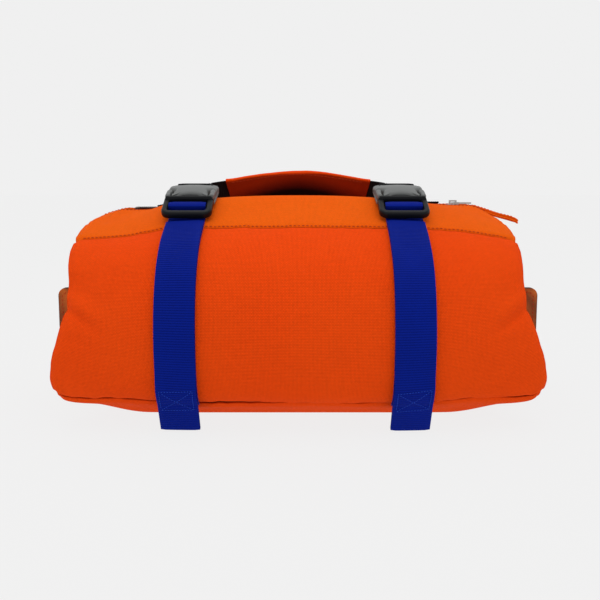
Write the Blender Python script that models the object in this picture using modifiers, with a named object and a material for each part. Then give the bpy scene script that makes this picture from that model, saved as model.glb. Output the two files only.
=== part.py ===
"""Small refillable weight bag: a zip-topped canvas shell with two buckled straps, a carry handle and
leather end tabs. Metres, +Z up, front towards -Y, standing on its base with the origin under its middle."""
from math import cos, pi, radians, sin

import bmesh
import bpy
import numpy as np
from mathutils import Matrix, Vector

# ---- driving sizes -------------------------------------------------------------------------------
BAG_DEPTH = 0.164            # front bulge to rear bulge
BAG_HEIGHT = 0.149           # floor to the crest of the top
BAG_HALF_WIDTH = 0.155       # middle to the widest point of a lower corner
FRONT_Y = -0.0803            # plane that touches the front bulge
SHELL = 0.0012               # canvas and its lining
GAP = 0.0003                 # between two pieces that touch
SEAM_GAP = 0.0005            # between two panels along a seam

STRAP_X = 0.0733             # middle between the straps to the middle of one
STRAP_SHIFT = -0.0015        # middle of the bag to the middle between the straps
WEBBING_WIDTH = 0.025
WEBBING = 0.0014             # thickness of the polypropylene webbing
TAIL_CLEAR = 0.0012          # tail end above the floor

BUCKLE_WIDTH = WEBBING_WIDTH + 0.0094
BUCKLE_TILT = radians(15)    # body of the buckle, against the floor
FRAME_BEND = radians(12)     # ladder frame, further down than the body
BUCKLE_AT = (BAG_DEPTH - 0.0900, BAG_HEIGHT - 0.0068)  # depth and height of the underside at the split line
FRAME_LENGTH = 0.0200
FRAME_THICK = 0.0052
BODY_LENGTH = 0.0350
BODY_THICK = 0.0076
BODY_FLOOR = 0.0020          # lower plate of the buckle body
WINDOW_HALF = WEBBING_WIDTH / 2 + 2 * GAP  # webbing window of the frame
BAR_WIDTH = 0.0028           # centre bar and rear bar

ZIP_DEPTH = BAG_DEPTH - 0.046  # front bulge to the zip
ZIP_Z = BAG_HEIGHT - 0.0108  # middle of the zip tape
ZIP_HALF = BAG_HALF_WIDTH - 0.033  # half the opening's length
CHAIN_HALF = 0.0026
CHAIN_THICK = 0.0022
TAPE = 0.0008
TAPE_WIDTH = 0.0036
ZIP_CLEAR = 0.0062           # zip's middle to the edge of a strip
SLIDER_X = ZIP_HALF - 0.0055
SLIDER_LENGTH = 0.0092
SLIDER_HALF = 0.0046
PULL_LENGTH = 0.0140
PULL_HALF = 0.0028
PULL_THICK = 0.0012

HANDLE_AT = (BAG_DEPTH - 0.033, BAG_HEIGHT + WEBBING - 0.0118)  # depth and height of its tilt line
HANDLE_LEAN = radians(52)    # how far it leans back at rest
HANDLE_WIDTH = 0.020
HANDLE_RISE = 0.0277
SLEEVE_HALF = 0.0555
SLEEVE_WIDTH = 0.0278
SLEEVE_THICK = 0.0034

TAB_HEIGHT = 0.040
TAB_MIDDLE_Z = BAG_HEIGHT / 2 - 0.0115
TAB_THICK = 0.0036
TAB_REACH = BAG_HALF_WIDTH + 0.0170  # outer edge of a leather tab
LINER = 0.0008
LINER_TOP = BAG_HEIGHT - 0.037
SAND_TOP = BAG_HEIGHT - 0.051
BOARD = (2 * (BAG_HALF_WIDTH - 0.055), 0.041, 0.0024)

STRAP_LIFT = GAP + WEBBING / 2
TAIL_LIFT = STRAP_LIFT + WEBBING + 2 * GAP
STRIP_EDGE_Z = ZIP_Z + TAPE / 2 + 3 * GAP + SHELL


def clear_scene():
    for obj in list(bpy.data.objects):
        bpy.data.objects.remove(obj, do_unlink=True)


def new_collection(name):
    made = bpy.data.collections.new(name)
    bpy.context.scene.collection.children.link(made)
    return made


clear_scene()
PARTS = new_collection("weight_bag")
CUTTERS = new_collection("cutters")


# ---- materials -----------------------------------------------------------------------------------
def finish(name, colour, roughness, metallic=0.0):
    material = bpy.data.materials.new(name)
    material.use_nodes = True
    shader = material.node_tree.nodes["Principled BSDF"]
    shader.inputs["Base Color"].default_value = (*colour, 1.0)
    shader.inputs["Roughness"].default_value = roughness
    shader.inputs["Metallic"].default_value = metallic
    return material


CANVAS = (0.76, 0.065, 0.006)
CANVAS_LIT = (0.84, 0.12, 0.006)
BLUE = (0.004, 0.015, 0.21)
BLACK = (0.008, 0.008, 0.009)
GREY = (0.045, 0.046, 0.048)
NICKEL = (0.42, 0.41, 0.39)
TAN = (0.38, 0.10, 0.014)


# ---- making objects ------------------------------------------------------------------------------
def add_object(name, mesh, colour=GREY, roughness=0.8, metallic=0.0, parent=None):
    """A named object in the parts collection, smooth where it is round, with a material of its own."""
    mesh.shade_smooth()
    mesh.set_sharp_from_angle(angle=radians(35))
    obj = bpy.data.objects.new(name, mesh)
    obj.data.materials.append(finish(name, colour, roughness, metallic))
    obj.parent = parent
    PARTS.objects.link(obj)
    return obj


def add_pivot(name, location, tilt=0.0, parent=None):
    """An empty on a joint's axis, turned about X by tilt."""
    pivot = bpy.data.objects.new(name, None)
    pivot.location = location
    pivot.rotation_euler = (tilt, 0.0, 0.0)
    pivot.parent = parent
    PARTS.objects.link(pivot)
    return pivot


def mesh_of(name, bm):
    mesh = bpy.data.meshes.new(name)
    bm.normal_update()
    bm.to_mesh(mesh)
    bm.free()
    return mesh


def shaped_grid(name, columns, rows, shape, weld=False, flip=False):
    """A grid whose points are moved by shape(u, t), with u and t running from 0 to 1."""
    bm = bmesh.new()
    bmesh.ops.create_grid(bm, x_segments=columns, y_segments=rows, size=1.0)
    flat = np.array([vert.co for vert in bm.verts])
    placed = shape((flat[:, 0] + 1) / 2, (flat[:, 1] + 1) / 2)
    for vert, place in zip(bm.verts, placed):
        vert.co = place
    if weld:
        bmesh.ops.remove_doubles(bm, verts=bm.verts, dist=1e-5)
    if flip:
        bmesh.ops.reverse_faces(bm, faces=bm.faces)
    return mesh_of(name, bm)


def thicken(obj, thickness, offset):
    solid = obj.modifiers.new("thickness", "SOLIDIFY")
    solid.thickness = thickness
    solid.offset = offset


def box_mesh(name, low, high):
    """A box between two corners, from a unit cube."""
    low, high = Vector(low), Vector(high)
    bm = bmesh.new()
    place = Matrix.Translation((low + high) / 2) @ Matrix.Diagonal((*(high - low), 1.0))
    bmesh.ops.create_cube(bm, size=1.0, matrix=place)
    return mesh_of(name, bm)


def soften(obj, width, segments=2):
    bevel = obj.modifiers.new("soft edges", "BEVEL")
    bevel.width = width
    bevel.segments = segments
    bevel.limit_method = "ANGLE"
    bevel.angle_limit = radians(50)


def outline_mesh(name, outline, low, high):
    """A flat closed outline in X and Y, extruded in Z from low to high and made a mesh."""
    curve = bpy.data.curves.new(name, "CURVE")
    curve.dimensions = "2D"
    curve.fill_mode = "BOTH"
    curve.extrude = (high - low) / 2
    spline = curve.splines.new("POLY")
    spline.points.add(len(outline) - 1)
    spline.points.foreach_set("co", [c for x, y in outline for c in (x, y, 0.0, 1.0)])
    spline.use_cyclic_u = True
    helper = bpy.data.objects.new(name, curve)
    PARTS.objects.link(helper)
    evaluated = helper.evaluated_get(bpy.context.evaluated_depsgraph_get())
    mesh = bpy.data.meshes.new_from_object(evaluated)
    bpy.data.objects.remove(helper)
    bm = bmesh.new()
    bm.from_mesh(mesh)
    bmesh.ops.remove_doubles(bm, verts=bm.verts, dist=1e-6)
    bmesh.ops.dissolve_limit(bm, angle_limit=radians(1), verts=bm.verts, edges=bm.edges)
    bmesh.ops.translate(bm, verts=bm.verts, vec=(0.0, 0.0, (low + high) / 2))
    bm.to_mesh(mesh)
    bm.free()
    return mesh


def arc(centre, radius, first, last, steps=5):
    """Points along an arc, angles in degrees."""
    turn = np.radians(np.linspace(first, last, steps))
    return [(centre[0] + radius * cos(a), centre[1] + radius * sin(a)) for a in turn]


def rounded_box_outline(half, low, high, r_low, r_high):
    """A box outline about X = 0 with its own corner radii at the low and the high end."""
    return (arc((half - r_low, low + r_low), r_low, -90, 0)
            + arc((half - r_high, high - r_high), r_high, 0, 90)
            + arc((r_high - half, high - r_high), r_high, 90, 180)
            + arc((r_low - half, low + r_low), r_low, 180, 270))


def boolean(obj, operation, mesh, parent=None):
    """Cuts obj by a mesh, or joins the mesh to it."""
    cutter = bpy.data.objects.new(f"{obj.name}_{operation.lower()}_{len(obj.modifiers)}", mesh)
    cutter.hide_render = True
    cutter.display_type = "WIRE"
    cutter.parent = parent or obj.parent
    CUTTERS.objects.link(cutter)
    step = obj.modifiers.new(cutter.name, "BOOLEAN")
    step.operation = operation
    step.object = cutter
    step.solver = "EXACT"


# ---- the filled shape of the bag ------------------------------------------------------------------
# One closed section, walked up the front, over the top, down the back and under the base. Each line:
# depth and height in the middle of the bag, depth and height at its ends, half width (all as shares
# of the bag's own), where along the half width it starts to change, and how sharply it does.
SECTION = np.array([
    (0.085, 0.122, 0.150, 0.184, 1.012, 0.00, 4.0),   # 0  front seam of the base
    (0.024, 0.201, 0.118, 0.275, 1.022, 0.00, 3.5),
    (0.000, 0.362, 0.110, 0.403, 0.990, 0.00, 3.5),   # 2  front bulge
    (0.021, 0.537, 0.134, 0.537, 0.955, 0.00, 3.5),
    (0.085, 0.685, 0.183, 0.658, 0.950, 0.00, 3.5),
    (0.183, 0.787, 0.256, 0.745, 0.960, 0.00, 3.5),
    (0.317, 0.866, 0.354, 0.805, 0.964, 0.00, 3.5),   # 6  front seam of the top
    (0.451, 0.936, 0.463, 0.845, 0.970, 0.00, 3.0),
    (0.579, 0.994, 0.585, 0.876, 0.965, 0.00, 2.4),   # 8  crest
    (0.682, 0.960, 0.682, 0.876, 0.955, 0.86, 1.6),   # 9  strip's edge in front of the zip
    (0.757, 0.960, 0.757, 0.876, 0.955, 0.86, 1.6),   # 10 strip's edge behind the zip
    (0.805, 0.940, 0.799, 0.873, 0.955, 0.86, 1.6),
    (0.872, 0.890, 0.841, 0.839, 0.948, 0.00, 4.0),   # 12 rear seam of the top
    (0.951, 0.752, 0.890, 0.725, 0.948, 0.00, 3.5),
    (0.994, 0.564, 0.909, 0.564, 0.955, 0.00, 3.5),
    (1.000, 0.376, 0.909, 0.403, 0.974, 0.00, 3.5),   # 15 rear bulge
    (0.976, 0.201, 0.890, 0.268, 0.980, 0.00, 3.5),
    (0.921, 0.087, 0.841, 0.161, 0.942, 0.00, 3.5),   # 17 rear seam of the base
    (0.829, 0.008, 0.744, 0.067, 0.916, 0.72, 2.0),
    (0.683, 0.000, 0.634, 0.054, 0.903, 0.72, 2.0),
    (0.335, 0.000, 0.385, 0.054, 0.903, 0.72, 2.0),
    (0.190, 0.064, 0.240, 0.118, 0.950, 0.40, 3.5),
])
FRONT_BASE, FRONT_TOP, ZIP_FRONT, ZIP_REAR, REAR_TOP, REAR_BASE, AROUND = 0, 6, 9, 10, 12, 17, 22
CENTRE = SECTION[:, 0:2] * (BAG_DEPTH, BAG_HEIGHT)
ENDS = SECTION[:, 2:4] * (BAG_DEPTH, BAG_HEIGHT)
HALF_WIDTHS = SECTION[:, 4] * BAG_HALF_WIDTH
CENTRE[ZIP_FRONT] = (ZIP_DEPTH - ZIP_CLEAR, STRIP_EDGE_Z)
CENTRE[ZIP_REAR] = (ZIP_DEPTH + ZIP_CLEAR, STRIP_EDGE_Z)
ENDS[ZIP_FRONT, 0] = ZIP_DEPTH - ZIP_CLEAR
ENDS[ZIP_REAR, 0] = ZIP_DEPTH + ZIP_CLEAR


def spline_weights(v):
    """The four control points around each place v, and their smooth-curve weights."""
    first = np.floor(v).astype(int)
    t = (v - first)[..., None]
    weights = 0.5 * np.concatenate([-t + 2 * t**2 - t**3, 2 - 5 * t**2 + 3 * t**3,
                                    t + 4 * t**2 - 3 * t**3, -t**2 + t**3], axis=-1)
    return (first[..., None] + np.arange(-1, 3)) % AROUND, weights


def half_width(v):
    near, weights = spline_weights(np.asarray(v, float))
    return (HALF_WIDTHS[near] * weights).sum(-1)


def bag_point(s, v):
    """Outer surface: s runs -1 to 1 from the left end to the right end, v runs around the section."""
    s, v = np.broadcast_arrays(np.asarray(s, float), np.asarray(v, float))
    near, weights = spline_weights(v)
    share = (np.abs(s)[..., None] - SECTION[near, 5]) / (1 - SECTION[near, 5])
    pull = (np.clip(share, 0.0, 1.0) ** SECTION[near, 6])[..., None]
    section = ((CENTRE[near] * (1 - pull) + ENDS[near] * pull) * weights[..., None]).sum(-2)
    return np.stack([s * half_width(v), FRONT_Y + section[..., 0], np.maximum(section[..., 1], 0.0)], axis=-1)


def bag_normal(s, v):
    """Outward normal of the surface, from small steps both ways."""
    step = 1e-3
    along = bag_point(s + step, v) - bag_point(s - step, v)
    around = bag_point(s, v + step) - bag_point(s, v - step)
    normal = np.cross(along, around)
    return normal / np.linalg.norm(normal, axis=-1, keepdims=True)


def over_bag(x, v, lift):
    """Points at the given x, raised from the surface by lift."""
    s = x / half_width(v)
    return bag_point(s, v) + bag_normal(s, v) * np.asarray(lift)[..., None]


def trimmed(low, high):
    """The stretch from low to high, less half a seam's gap at each end."""
    def speed(v):
        return np.linalg.norm(bag_point(0.0, v + 1e-3) - bag_point(0.0, v - 1e-3)) / 2e-3
    return low + SEAM_GAP / 2 / speed(low), high - SEAM_GAP / 2 / speed(high)


# ---- canvas shell --------------------------------------------------------------------------------
def wrap_panel(name, low, high, rows, colour=CANVAS):
    low, high = trimmed(low, high)
    mesh = shaped_grid(name, 14, rows, lambda u, t: bag_point(np.sin((u - 0.5) * pi), low + (high - low) * t))
    thicken(add_object(name, mesh, colour, 0.9), SHELL, -1.0)


def end_panel(name, side):
    """A lid set just inside the open end of the wrapped panels, slightly domed."""
    inset = SHELL + SEAM_GAP + 0.0003
    centre = bag_point(side, np.arange(AROUND)).mean(axis=0)
    reach = side * BAG_HALF_WIDTH * 0.985

    def shape(u, t):
        rim = bag_point(side, u * AROUND)
        radius = np.linalg.norm((rim - centre)[:, 1:], axis=1)
        scale = (t * (1 - inset / radius))[:, None]
        points = centre + (rim - centre) * scale
        points[:, 0] = reach + (rim[:, 0] - side * inset / 2 - reach) * t**2
        return points
    mesh = shaped_grid(name, 2 * AROUND, 4, shape, weld=True, flip=side < 0)
    thicken(add_object(name, mesh, CANVAS, 0.9), SHELL, -1.0)


def canvas_shell():
    wrap_panel("front_panel", FRONT_BASE, FRONT_TOP, 14)
    wrap_panel("top_front_strip", FRONT_TOP, ZIP_FRONT, 8, CANVAS_LIT)
    wrap_panel("top_rear_strip", ZIP_REAR, REAR_TOP, 5, CANVAS_LIT)
    wrap_panel("back_panel", REAR_TOP, REAR_BASE, 11)
    wrap_panel("base_panel", REAR_BASE, AROUND, 11)
    end_panel("end_panel_left", -1)
    end_panel("end_panel_right", 1)


# ---- zip -----------------------------------------------------------------------------------------
def zip_closure():
    y = FRONT_Y + ZIP_DEPTH
    for name, side in (("zip_tape_front", -1), ("zip_tape_rear", 1)):
        edges = sorted((y + side * (CHAIN_HALF + GAP), y + side * (CHAIN_HALF + GAP + TAPE_WIDTH)))
        mesh = box_mesh(name, (-ZIP_HALF, edges[0], ZIP_Z - TAPE / 2), (ZIP_HALF, edges[1], ZIP_Z + TAPE / 2))
        add_object(name, mesh, (0.02, 0.012, 0.010), 0.9)
    stop_length = 0.0022
    chain_end = ZIP_HALF - stop_length - GAP
    chain = add_object("zip_chain", box_mesh("zip_chain", (-chain_end, y - CHAIN_HALF, ZIP_Z - CHAIN_THICK / 2),
                       (chain_end, y + CHAIN_HALF, ZIP_Z + CHAIN_THICK / 2)), (0.03, 0.03, 0.03), 0.5)
    soften(chain, 0.0005, 1)
    for name, side in (("zip_stop_left", -1), ("zip_stop_right", 1)):
        ends = sorted((side * (ZIP_HALF - stop_length), side * ZIP_HALF))
        mesh = box_mesh(name, (ends[0], y - CHAIN_HALF, ZIP_Z - CHAIN_THICK / 2),
                        (ends[1], y + CHAIN_HALF, ZIP_Z + CHAIN_THICK / 2))
        soften(add_object(name, mesh, NICKEL, 0.3, 1.0), 0.0003, 1)
    zip_slider(y)


def zip_slider(y):
    """A saddle over the chain with a bail on top, and a pull whose cross bar turns under the bail."""
    wall = 0.0012
    under = CHAIN_THICK / 2 + 0.0004
    plate_top = under + wall
    pivot_height = plate_top + GAP + PULL_THICK / 2
    half = SLIDER_LENGTH / 2
    home = add_pivot("slider_axis", (SLIDER_X, y, ZIP_Z))
    outline = rounded_box_outline(SLIDER_HALF, -half, half, 0.0012, 0.0026)
    turned = [(along, across) for across, along in reversed(outline)]
    slider = add_object("zip_slider", outline_mesh("zip_slider", turned, under - 0.0007, plate_top),
                        NICKEL, 0.28, 1.0, home)
    channel = SLIDER_HALF - wall
    boolean(slider, "DIFFERENCE", box_mesh("channel", (-0.01, -channel, -0.001), (0.01, channel, under)))
    leg_in, leg_out = 0.0016, 0.0028
    bar_low, bar_high = pivot_height + 0.0011, pivot_height + 0.0022
    bail_half = 0.0009
    boolean(slider, "UNION", box_mesh("bail", (-leg_out, -bail_half, plate_top - 0.0004),
                                      (leg_out, bail_half, bar_high)))
    boolean(slider, "DIFFERENCE", box_mesh("bail_gap", (-leg_in, -0.002, plate_top), (leg_in, 0.002, bar_low)))
    pull_axis = add_pivot("pull_axis", (0.0, 0.0, pivot_height), parent=home)
    bar = PULL_THICK / 2
    flat = arc((PULL_LENGTH - PULL_HALF, 0.0), PULL_HALF, 90, -90, 9) + [(-bar, -PULL_HALF), (-bar, PULL_HALF)]
    pull = add_object("zip_pull", outline_mesh("zip_pull", flat, -bar, bar), NICKEL, 0.3, 1.0, pull_axis)
    window = box_mesh("window", (bar, -0.0017, -0.002), (0.0046, 0.0017, 0.002))
    boolean(pull, "DIFFERENCE", window)


def zip_end_tab():
    """The folded fabric tab that closes the zip's right end and stands out past the bag."""
    start, length, half, thick = ZIP_HALF + 0.0075, 0.0382, ZIP_CLEAR - GAP, 0.0030
    pitch = radians(11)
    flat = (arc((length - 0.005, half - 0.005), 0.005, 90, 0) + arc((length - 0.005, 0.005 - half), 0.005, 0, -90)
            + [(0.0, -half), (0.0, half)])
    tab = add_object("zip_end_tab", outline_mesh("zip_end_tab", list(reversed(flat)), 0.0, thick), CANVAS_LIT, 0.9)
    tab.location = (start, FRONT_Y + ZIP_DEPTH, ZIP_Z - 0.0004)
    tab.rotation_euler = (0.0, pitch, 0.0)
    soften(tab, 0.0008)


# ---- buckles and straps --------------------------------------------------------------------------
def webbing_grid(name, columns, rows, shape, colour=BLUE, parent=None, thickness=WEBBING):
    thicken(add_object(name, shaped_grid(name, columns, rows, shape), colour, 0.6, 0.0, parent), thickness, 0.0)


def across(middle, u, width=WEBBING_WIDTH):
    return middle + (u - 0.5) * width


def load_strap(name, middle):
    """Sewn into the front seam of the base, up the front and under the buckle's frame."""
    def shape(u, t):
        v = FRONT_BASE + 0.08 + t * 6.62
        return over_bag(across(middle, u), v, np.full_like(u, STRAP_LIFT))
    webbing_grid(name, 4, 18, shape)


def strap_tail(name, middle):
    """From under the frame's end bar down the front, then hanging free with its end folded up behind."""
    start, leave = 6.10, 0.50
    lean = 0.42
    fold = (WEBBING + GAP) / 2
    layer = 2 * fold
    hem_over = 0.09
    rows_over, rows_free, rows_fold, rows_up = 18, 3, 4, 8
    rows_down = rows_over + rows_free

    def down(u, t, lift):
        """t runs 0 to 1 down to the start of the free end, and on to 2 at the fold."""
        v = np.where(t < 1, start + (leave - start) * np.minimum(t, 1), leave)
        points = over_bag(across(middle, u), v, lift)
        drop = np.clip(t - 1, 0, 1) * (points[:, 2] - TAIL_CLEAR - WEBBING / 2 - fold)
        return points + np.stack([0 * drop, lean * drop, -drop], axis=-1)

    def shape(u, t):
        row = t * (rows_down + rows_fold + rows_up)
        outer_t = np.minimum(row / rows_over, 1) + np.clip((row - rows_over) / rows_free, 0, 1)
        near_hem = 1 / (1 + np.exp(-(outer_t - 1 + 1.6 * hem_over) * 60))
        points = down(u, outer_t, TAIL_LIFT + layer * near_hem)
        turn = np.clip((row - rows_down) / rows_fold, 0, 1) * pi
        inner_t = 2 - (1 + hem_over) * np.clip((row - rows_down - rows_fold) / rows_up, 0, 1)
        inner = down(u, inner_t, np.full_like(u, TAIL_LIFT))
        bend = points + np.stack([0 * u, fold * (1 - np.cos(turn)), -fold * np.sin(turn)], axis=-1)
        return np.where((row > rows_down + rows_fold - 0.5)[:, None], inner, bend)
    webbing_grid(name, 4, rows_down + rows_fold + rows_up, shape)


def strap_loop(name, frame, bar):
    """The turn of webbing over the frame's centre bar, above the frame's underside."""
    gap = GAP + WEBBING / 2
    low, top = 0.0011, FRAME_THICK - 0.0004
    half = BAR_WIDTH / 2 + gap

    def shape(u, t):
        turn = np.clip((t - 0.25) / 0.5, 0, 1) * pi
        straight = np.where(t < 0.25, t / 0.25, np.where(t > 0.75, (1 - t) / 0.25, 1.0))
        height = low + (top - low) * straight
        return np.stack([across(0.0, u), bar + half * np.cos(turn), height + gap * np.sin(turn)], axis=-1)
    webbing_grid(name, 3, 16, shape, BLUE, frame)


def buckle_frame(name, body, frame):
    """Ladder frame with its webbing window and centre bar, a hub, and the prong that guides it home."""
    half = BUCKLE_WIDTH / 2
    outline = rounded_box_outline(half, -FRAME_LENGTH, 0.0, 0.0045, 0.0016)
    piece = add_object(name, outline_mesh(name, outline, 0.0, FRAME_THICK), (0.02, 0.02, 0.022), 0.45, 0.0, frame)
    soften(piece, 0.0011)
    bar = -0.0088
    window = box_mesh("window", (-WINDOW_HALF, -0.0162, -0.01), (WINDOW_HALF, -0.0030, 0.01))
    boolean(piece, "DIFFERENCE", window)
    boolean(piece, "UNION", box_mesh("bar", (-WINDOW_HALF - 0.001, bar - BAR_WIDTH / 2, 0.0006),
                                     (WINDOW_HALF + 0.001, bar + BAR_WIDTH / 2, FRAME_THICK - 0.0008)))
    boolean(piece, "UNION", box_mesh("hub", (0.0006 - half, -0.0026, 0.0008), (half - 0.0006, -0.0001, 0.0072)), body)
    boolean(piece, "UNION", box_mesh("prong", (-0.0074, -0.0012, 0.0032), (0.0074, 0.0185, 0.0056)), body)
    return bar


def buckle_body(name, body):
    """Lower plate with two side shelves, a waisted upper housing with wings, and a rear webbing bar."""
    half = BUCKLE_WIDTH / 2 + 0.0002
    mouth, notch, wing = half - 0.0050, half - 0.0070, half - 0.0002
    front, waist, rear = 0.0004, 0.0128, BODY_LENGTH
    piece = add_object(name, outline_mesh(name, rounded_box_outline(half, front, rear, 0.0006, 0.0060),
                       0.0, BODY_FLOOR), GREY, 0.5, 0.0, body)
    right = ([(mouth, front + 0.0006), (mouth - 0.0003, 0.0075)]
             + arc((notch + 0.0034, waist + 0.0012), 0.0034, 210, 150, 4)
             + arc((wing - 0.0028, waist + 0.0068), 0.0028, 60, 0, 4)
             + arc((wing - 0.0058, rear - 0.0058), 0.0058, 0, 90, 6))
    arch = [(x, front + 0.0006 + 0.0042 * (1 - (x / mouth) ** 2)) for x in np.linspace(0.0024 - mouth, mouth - 0.0024, 7)]
    upper = outline_mesh("upper", right + [(-x, y) for x, y in reversed(right)] + arch,
                         BODY_FLOOR - 0.0001, BODY_THICK)
    boolean(piece, "UNION", upper)
    boolean(piece, "DIFFERENCE", box_mesh("cavity", (-0.0080, -0.002, 0.0026), (0.0080, 0.0200, 0.0062)))
    boolean(piece, "DIFFERENCE", box_mesh("slot", (-WINDOW_HALF, 0.0258, -0.01), (WINDOW_HALF, 0.0306, 0.02)))
    crown = box_mesh("crown", (-BUCKLE_WIDTH, 0.0, -0.010), (BUCKLE_WIDTH, 0.02, 0.010))
    crown.transform(Matrix.Translation((0, 0.0305, 0.0156)) @ Matrix.Rotation(radians(-18), 4, "X"))
    boolean(piece, "DIFFERENCE", crown)
    for side in (-1, 1):
        lug = sorted((side * (half - 0.0018), side * half))
        boolean(piece, "UNION", box_mesh("lug", (lug[0], 0.0080, BODY_FLOOR - 0.0004), (lug[1], 0.0098, 0.0034)))


ARM_ROOT = 0.0026
ARM_MIDDLE = BUCKLE_WIDTH / 2 - 0.0023


def buckle_arm(name, body, side):
    """A spring arm beside the housing. Its heel turns at the hub, and its lower tooth sits behind a lug."""
    pivot = add_pivot(name + "_axis", (side * ARM_MIDDLE, ARM_ROOT, 0.0), parent=body)
    r, reach, low, high = 0.0020, 0.0118, BODY_FLOOR + 0.0004, 0.0072
    outline = arc((0.0, 0.0), r, 180, 360, 7) + arc((0.0, reach - r), r, 0, 180, 7)
    arm = add_object(name, outline_mesh(name, outline, low, high), GREY, 0.5, 0.0, pivot)
    soften(arm, 0.0007, 1)
    relief = sorted((side * 0.0003, side * 0.004))
    boolean(arm, "DIFFERENCE", box_mesh("relief", (relief[0], -0.004, 0.0), (relief[1], 0.0075, 0.0038)))


def anchor_strap(name, body):
    """Black webbing round the rear bar of the buckle body, sewn down in front of the zip."""
    gap = GAP + WEBBING / 2
    bar_front, bar_rear, bar_top = 0.0306, BODY_LENGTH, 0.0062
    seat_depth, seat_drop = 0.0055, 0.0054

    path = [(bar_front - gap, 0.0008), (bar_front - gap, bar_top - 0.0008), (bar_front + 0.0002, bar_top + gap),
            (bar_rear - 0.0012, bar_top + gap - 0.0004), (bar_rear + gap, bar_top - 0.0020),
            (bar_rear + gap, 0.0), (bar_rear + gap - 0.0004, -0.0020), (bar_rear - 0.0012, -0.0050),
            (bar_rear - seat_depth, -seat_drop)]
    path = np.array(path)

    def shape(u, t):
        place = t * (len(path) - 1)
        y = np.interp(place, np.arange(len(path)), path[:, 0])
        z = np.interp(place, np.arange(len(path)), path[:, 1])
        return np.stack([across(0.0, u), y, z], axis=-1)
    webbing_grid(name, 2, len(path) - 1, shape, BLACK, body, 0.0012)


def strap_set(word, side):
    middle = side * STRAP_X + STRAP_SHIFT
    body = add_pivot(f"buckle_{word}_axis", (middle, FRONT_Y + BUCKLE_AT[0], BUCKLE_AT[1]), BUCKLE_TILT)
    frame = add_pivot(f"frame_{word}_axis", (0.0, 0.0, 0.0), FRAME_BEND, body)
    bar = buckle_frame(f"buckle_frame_{word}", body, frame)
    buckle_body(f"buckle_body_{word}", body)
    buckle_arm(f"buckle_arm_inner_{word}", body, -side)
    buckle_arm(f"buckle_arm_outer_{word}", body, side)
    anchor_strap(f"buckle_anchor_{word}", body)
    strap_loop(f"strap_loop_{word}", frame, bar)
    load_strap(f"load_strap_{word}", middle)
    strap_tail(f"strap_tail_{word}", middle)


# ---- carry handle --------------------------------------------------------------------------------
REACH_X = (0.0, 0.018, 0.035, 0.052, 0.068, 0.078, 0.086)
REACH_H = (1.0, 0.930, 0.780, 0.620, 0.500, 0.340, 0.120)
HANDLE_SPLIT = 0.0675        # where the moving stretch meets a sewn-down end


def handle_height(x):
    return np.interp(np.abs(x), REACH_X, np.array(REACH_H) * HANDLE_RISE)


def handle_world(x, y, height):
    """A point of the leaning handle: x along it, y across its webbing, height above its tilt line."""
    return np.stack([x, FRONT_Y + HANDLE_AT[0] + y * cos(HANDLE_LEAN) + height * sin(HANDLE_LEAN),
                     HANDLE_AT[1] - y * sin(HANDLE_LEAN) + height * cos(HANDLE_LEAN)], axis=-1)


def handle():
    pivot = add_pivot("handle_axis", (0.0, FRONT_Y + HANDLE_AT[0], HANDLE_AT[1]), -HANDLE_LEAN)
    span = HANDLE_SPLIT - GAP

    def arch(u, t):
        x = (2 * t - 1) * span
        return np.stack([x, (u - 0.5) * HANDLE_WIDTH, handle_height(x)], axis=-1)
    webbing_grid("handle_webbing", 2, 24, arch, BLACK, pivot)

    def sleeve(u, t):
        x = (2 * t - 1) * SLEEVE_HALF
        turn = -u * 2 * pi
        flat = np.sign(np.cos(turn)) * np.abs(np.cos(turn)) ** 0.35 * SLEEVE_WIDTH / 2
        tall = np.sign(np.sin(turn)) * np.abs(np.sin(turn)) ** 0.60 * SLEEVE_THICK / 2
        return np.stack([x, flat, handle_height(x) + tall], axis=-1)
    mesh = shaped_grid("handle_sleeve", 16, 14, sleeve, weld=True)
    thicken(add_object("handle_sleeve", mesh, CANVAS, 0.9, 0.0, pivot), 0.0009, -1.0)
    for word, side in (("left", -1), ("right", 1)):
        handle_end(f"handle_end_{word}", side)


def handle_end(name, side):
    """Webbing sewn flat on the rear strip, then rising to meet the moving stretch."""
    def shape(u, t):
        x = side * (0.108 - (0.108 - HANDLE_SPLIT - GAP) * t)
        y = (u - 0.5) * HANDLE_WIDTH
        v = 10.42 + 1.42 * u
        sewn = over_bag(x, v, np.full_like(u, GAP + WEBBING / 2))
        risen = handle_world(x, y, handle_height(x))
        lift = np.clip((0.090 - np.abs(x)) / 0.014, 0, 1)
        lift = (lift * lift * (3 - 2 * lift))[:, None]
        return sewn * (1 - lift) + risen * lift
    webbing_grid(name, 4, 12, shape, BLACK)


# ---- leather tabs, board and fill ----------------------------------------------------------------
def leather_tab(name, side):
    """A doubled leather fin that stands out from the middle of an end panel."""
    root = BAG_HALF_WIDTH * 0.985 + GAP
    half = TAB_HEIGHT / 2
    corner = 0.006
    outline = ([(root, -half), (TAB_REACH - corner, -half)] + arc((TAB_REACH - corner, corner - half), corner, -90, 0)
               + arc((TAB_REACH - corner, half - corner), corner, 0, 90) + [(root, half)])
    tab = add_object(name, outline_mesh(name, outline, -TAB_THICK / 2, TAB_THICK / 2), TAN, 0.55)
    soften(tab, 0.0006)
    tab.location = (0.0, FRONT_Y + BAG_DEPTH / 2, TAB_MIDDLE_Z)
    tab.rotation_euler = (radians(90), 0.0, pi if side < 0 else 0.0)


def inner_span(z, margin):
    """Front and rear depth that is free inside the shell at height z, near the ends of the bag."""
    front = bag_point(0.92, np.linspace(-2.0, 7.0, 70))
    rear = bag_point(0.92, np.linspace(12.0, 19.0, 60))
    return (np.interp(z, front[:, 2], front[:, 1]) + margin,
            np.interp(z, rear[::-1, 2], rear[::-1, 1]) - margin)


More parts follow.
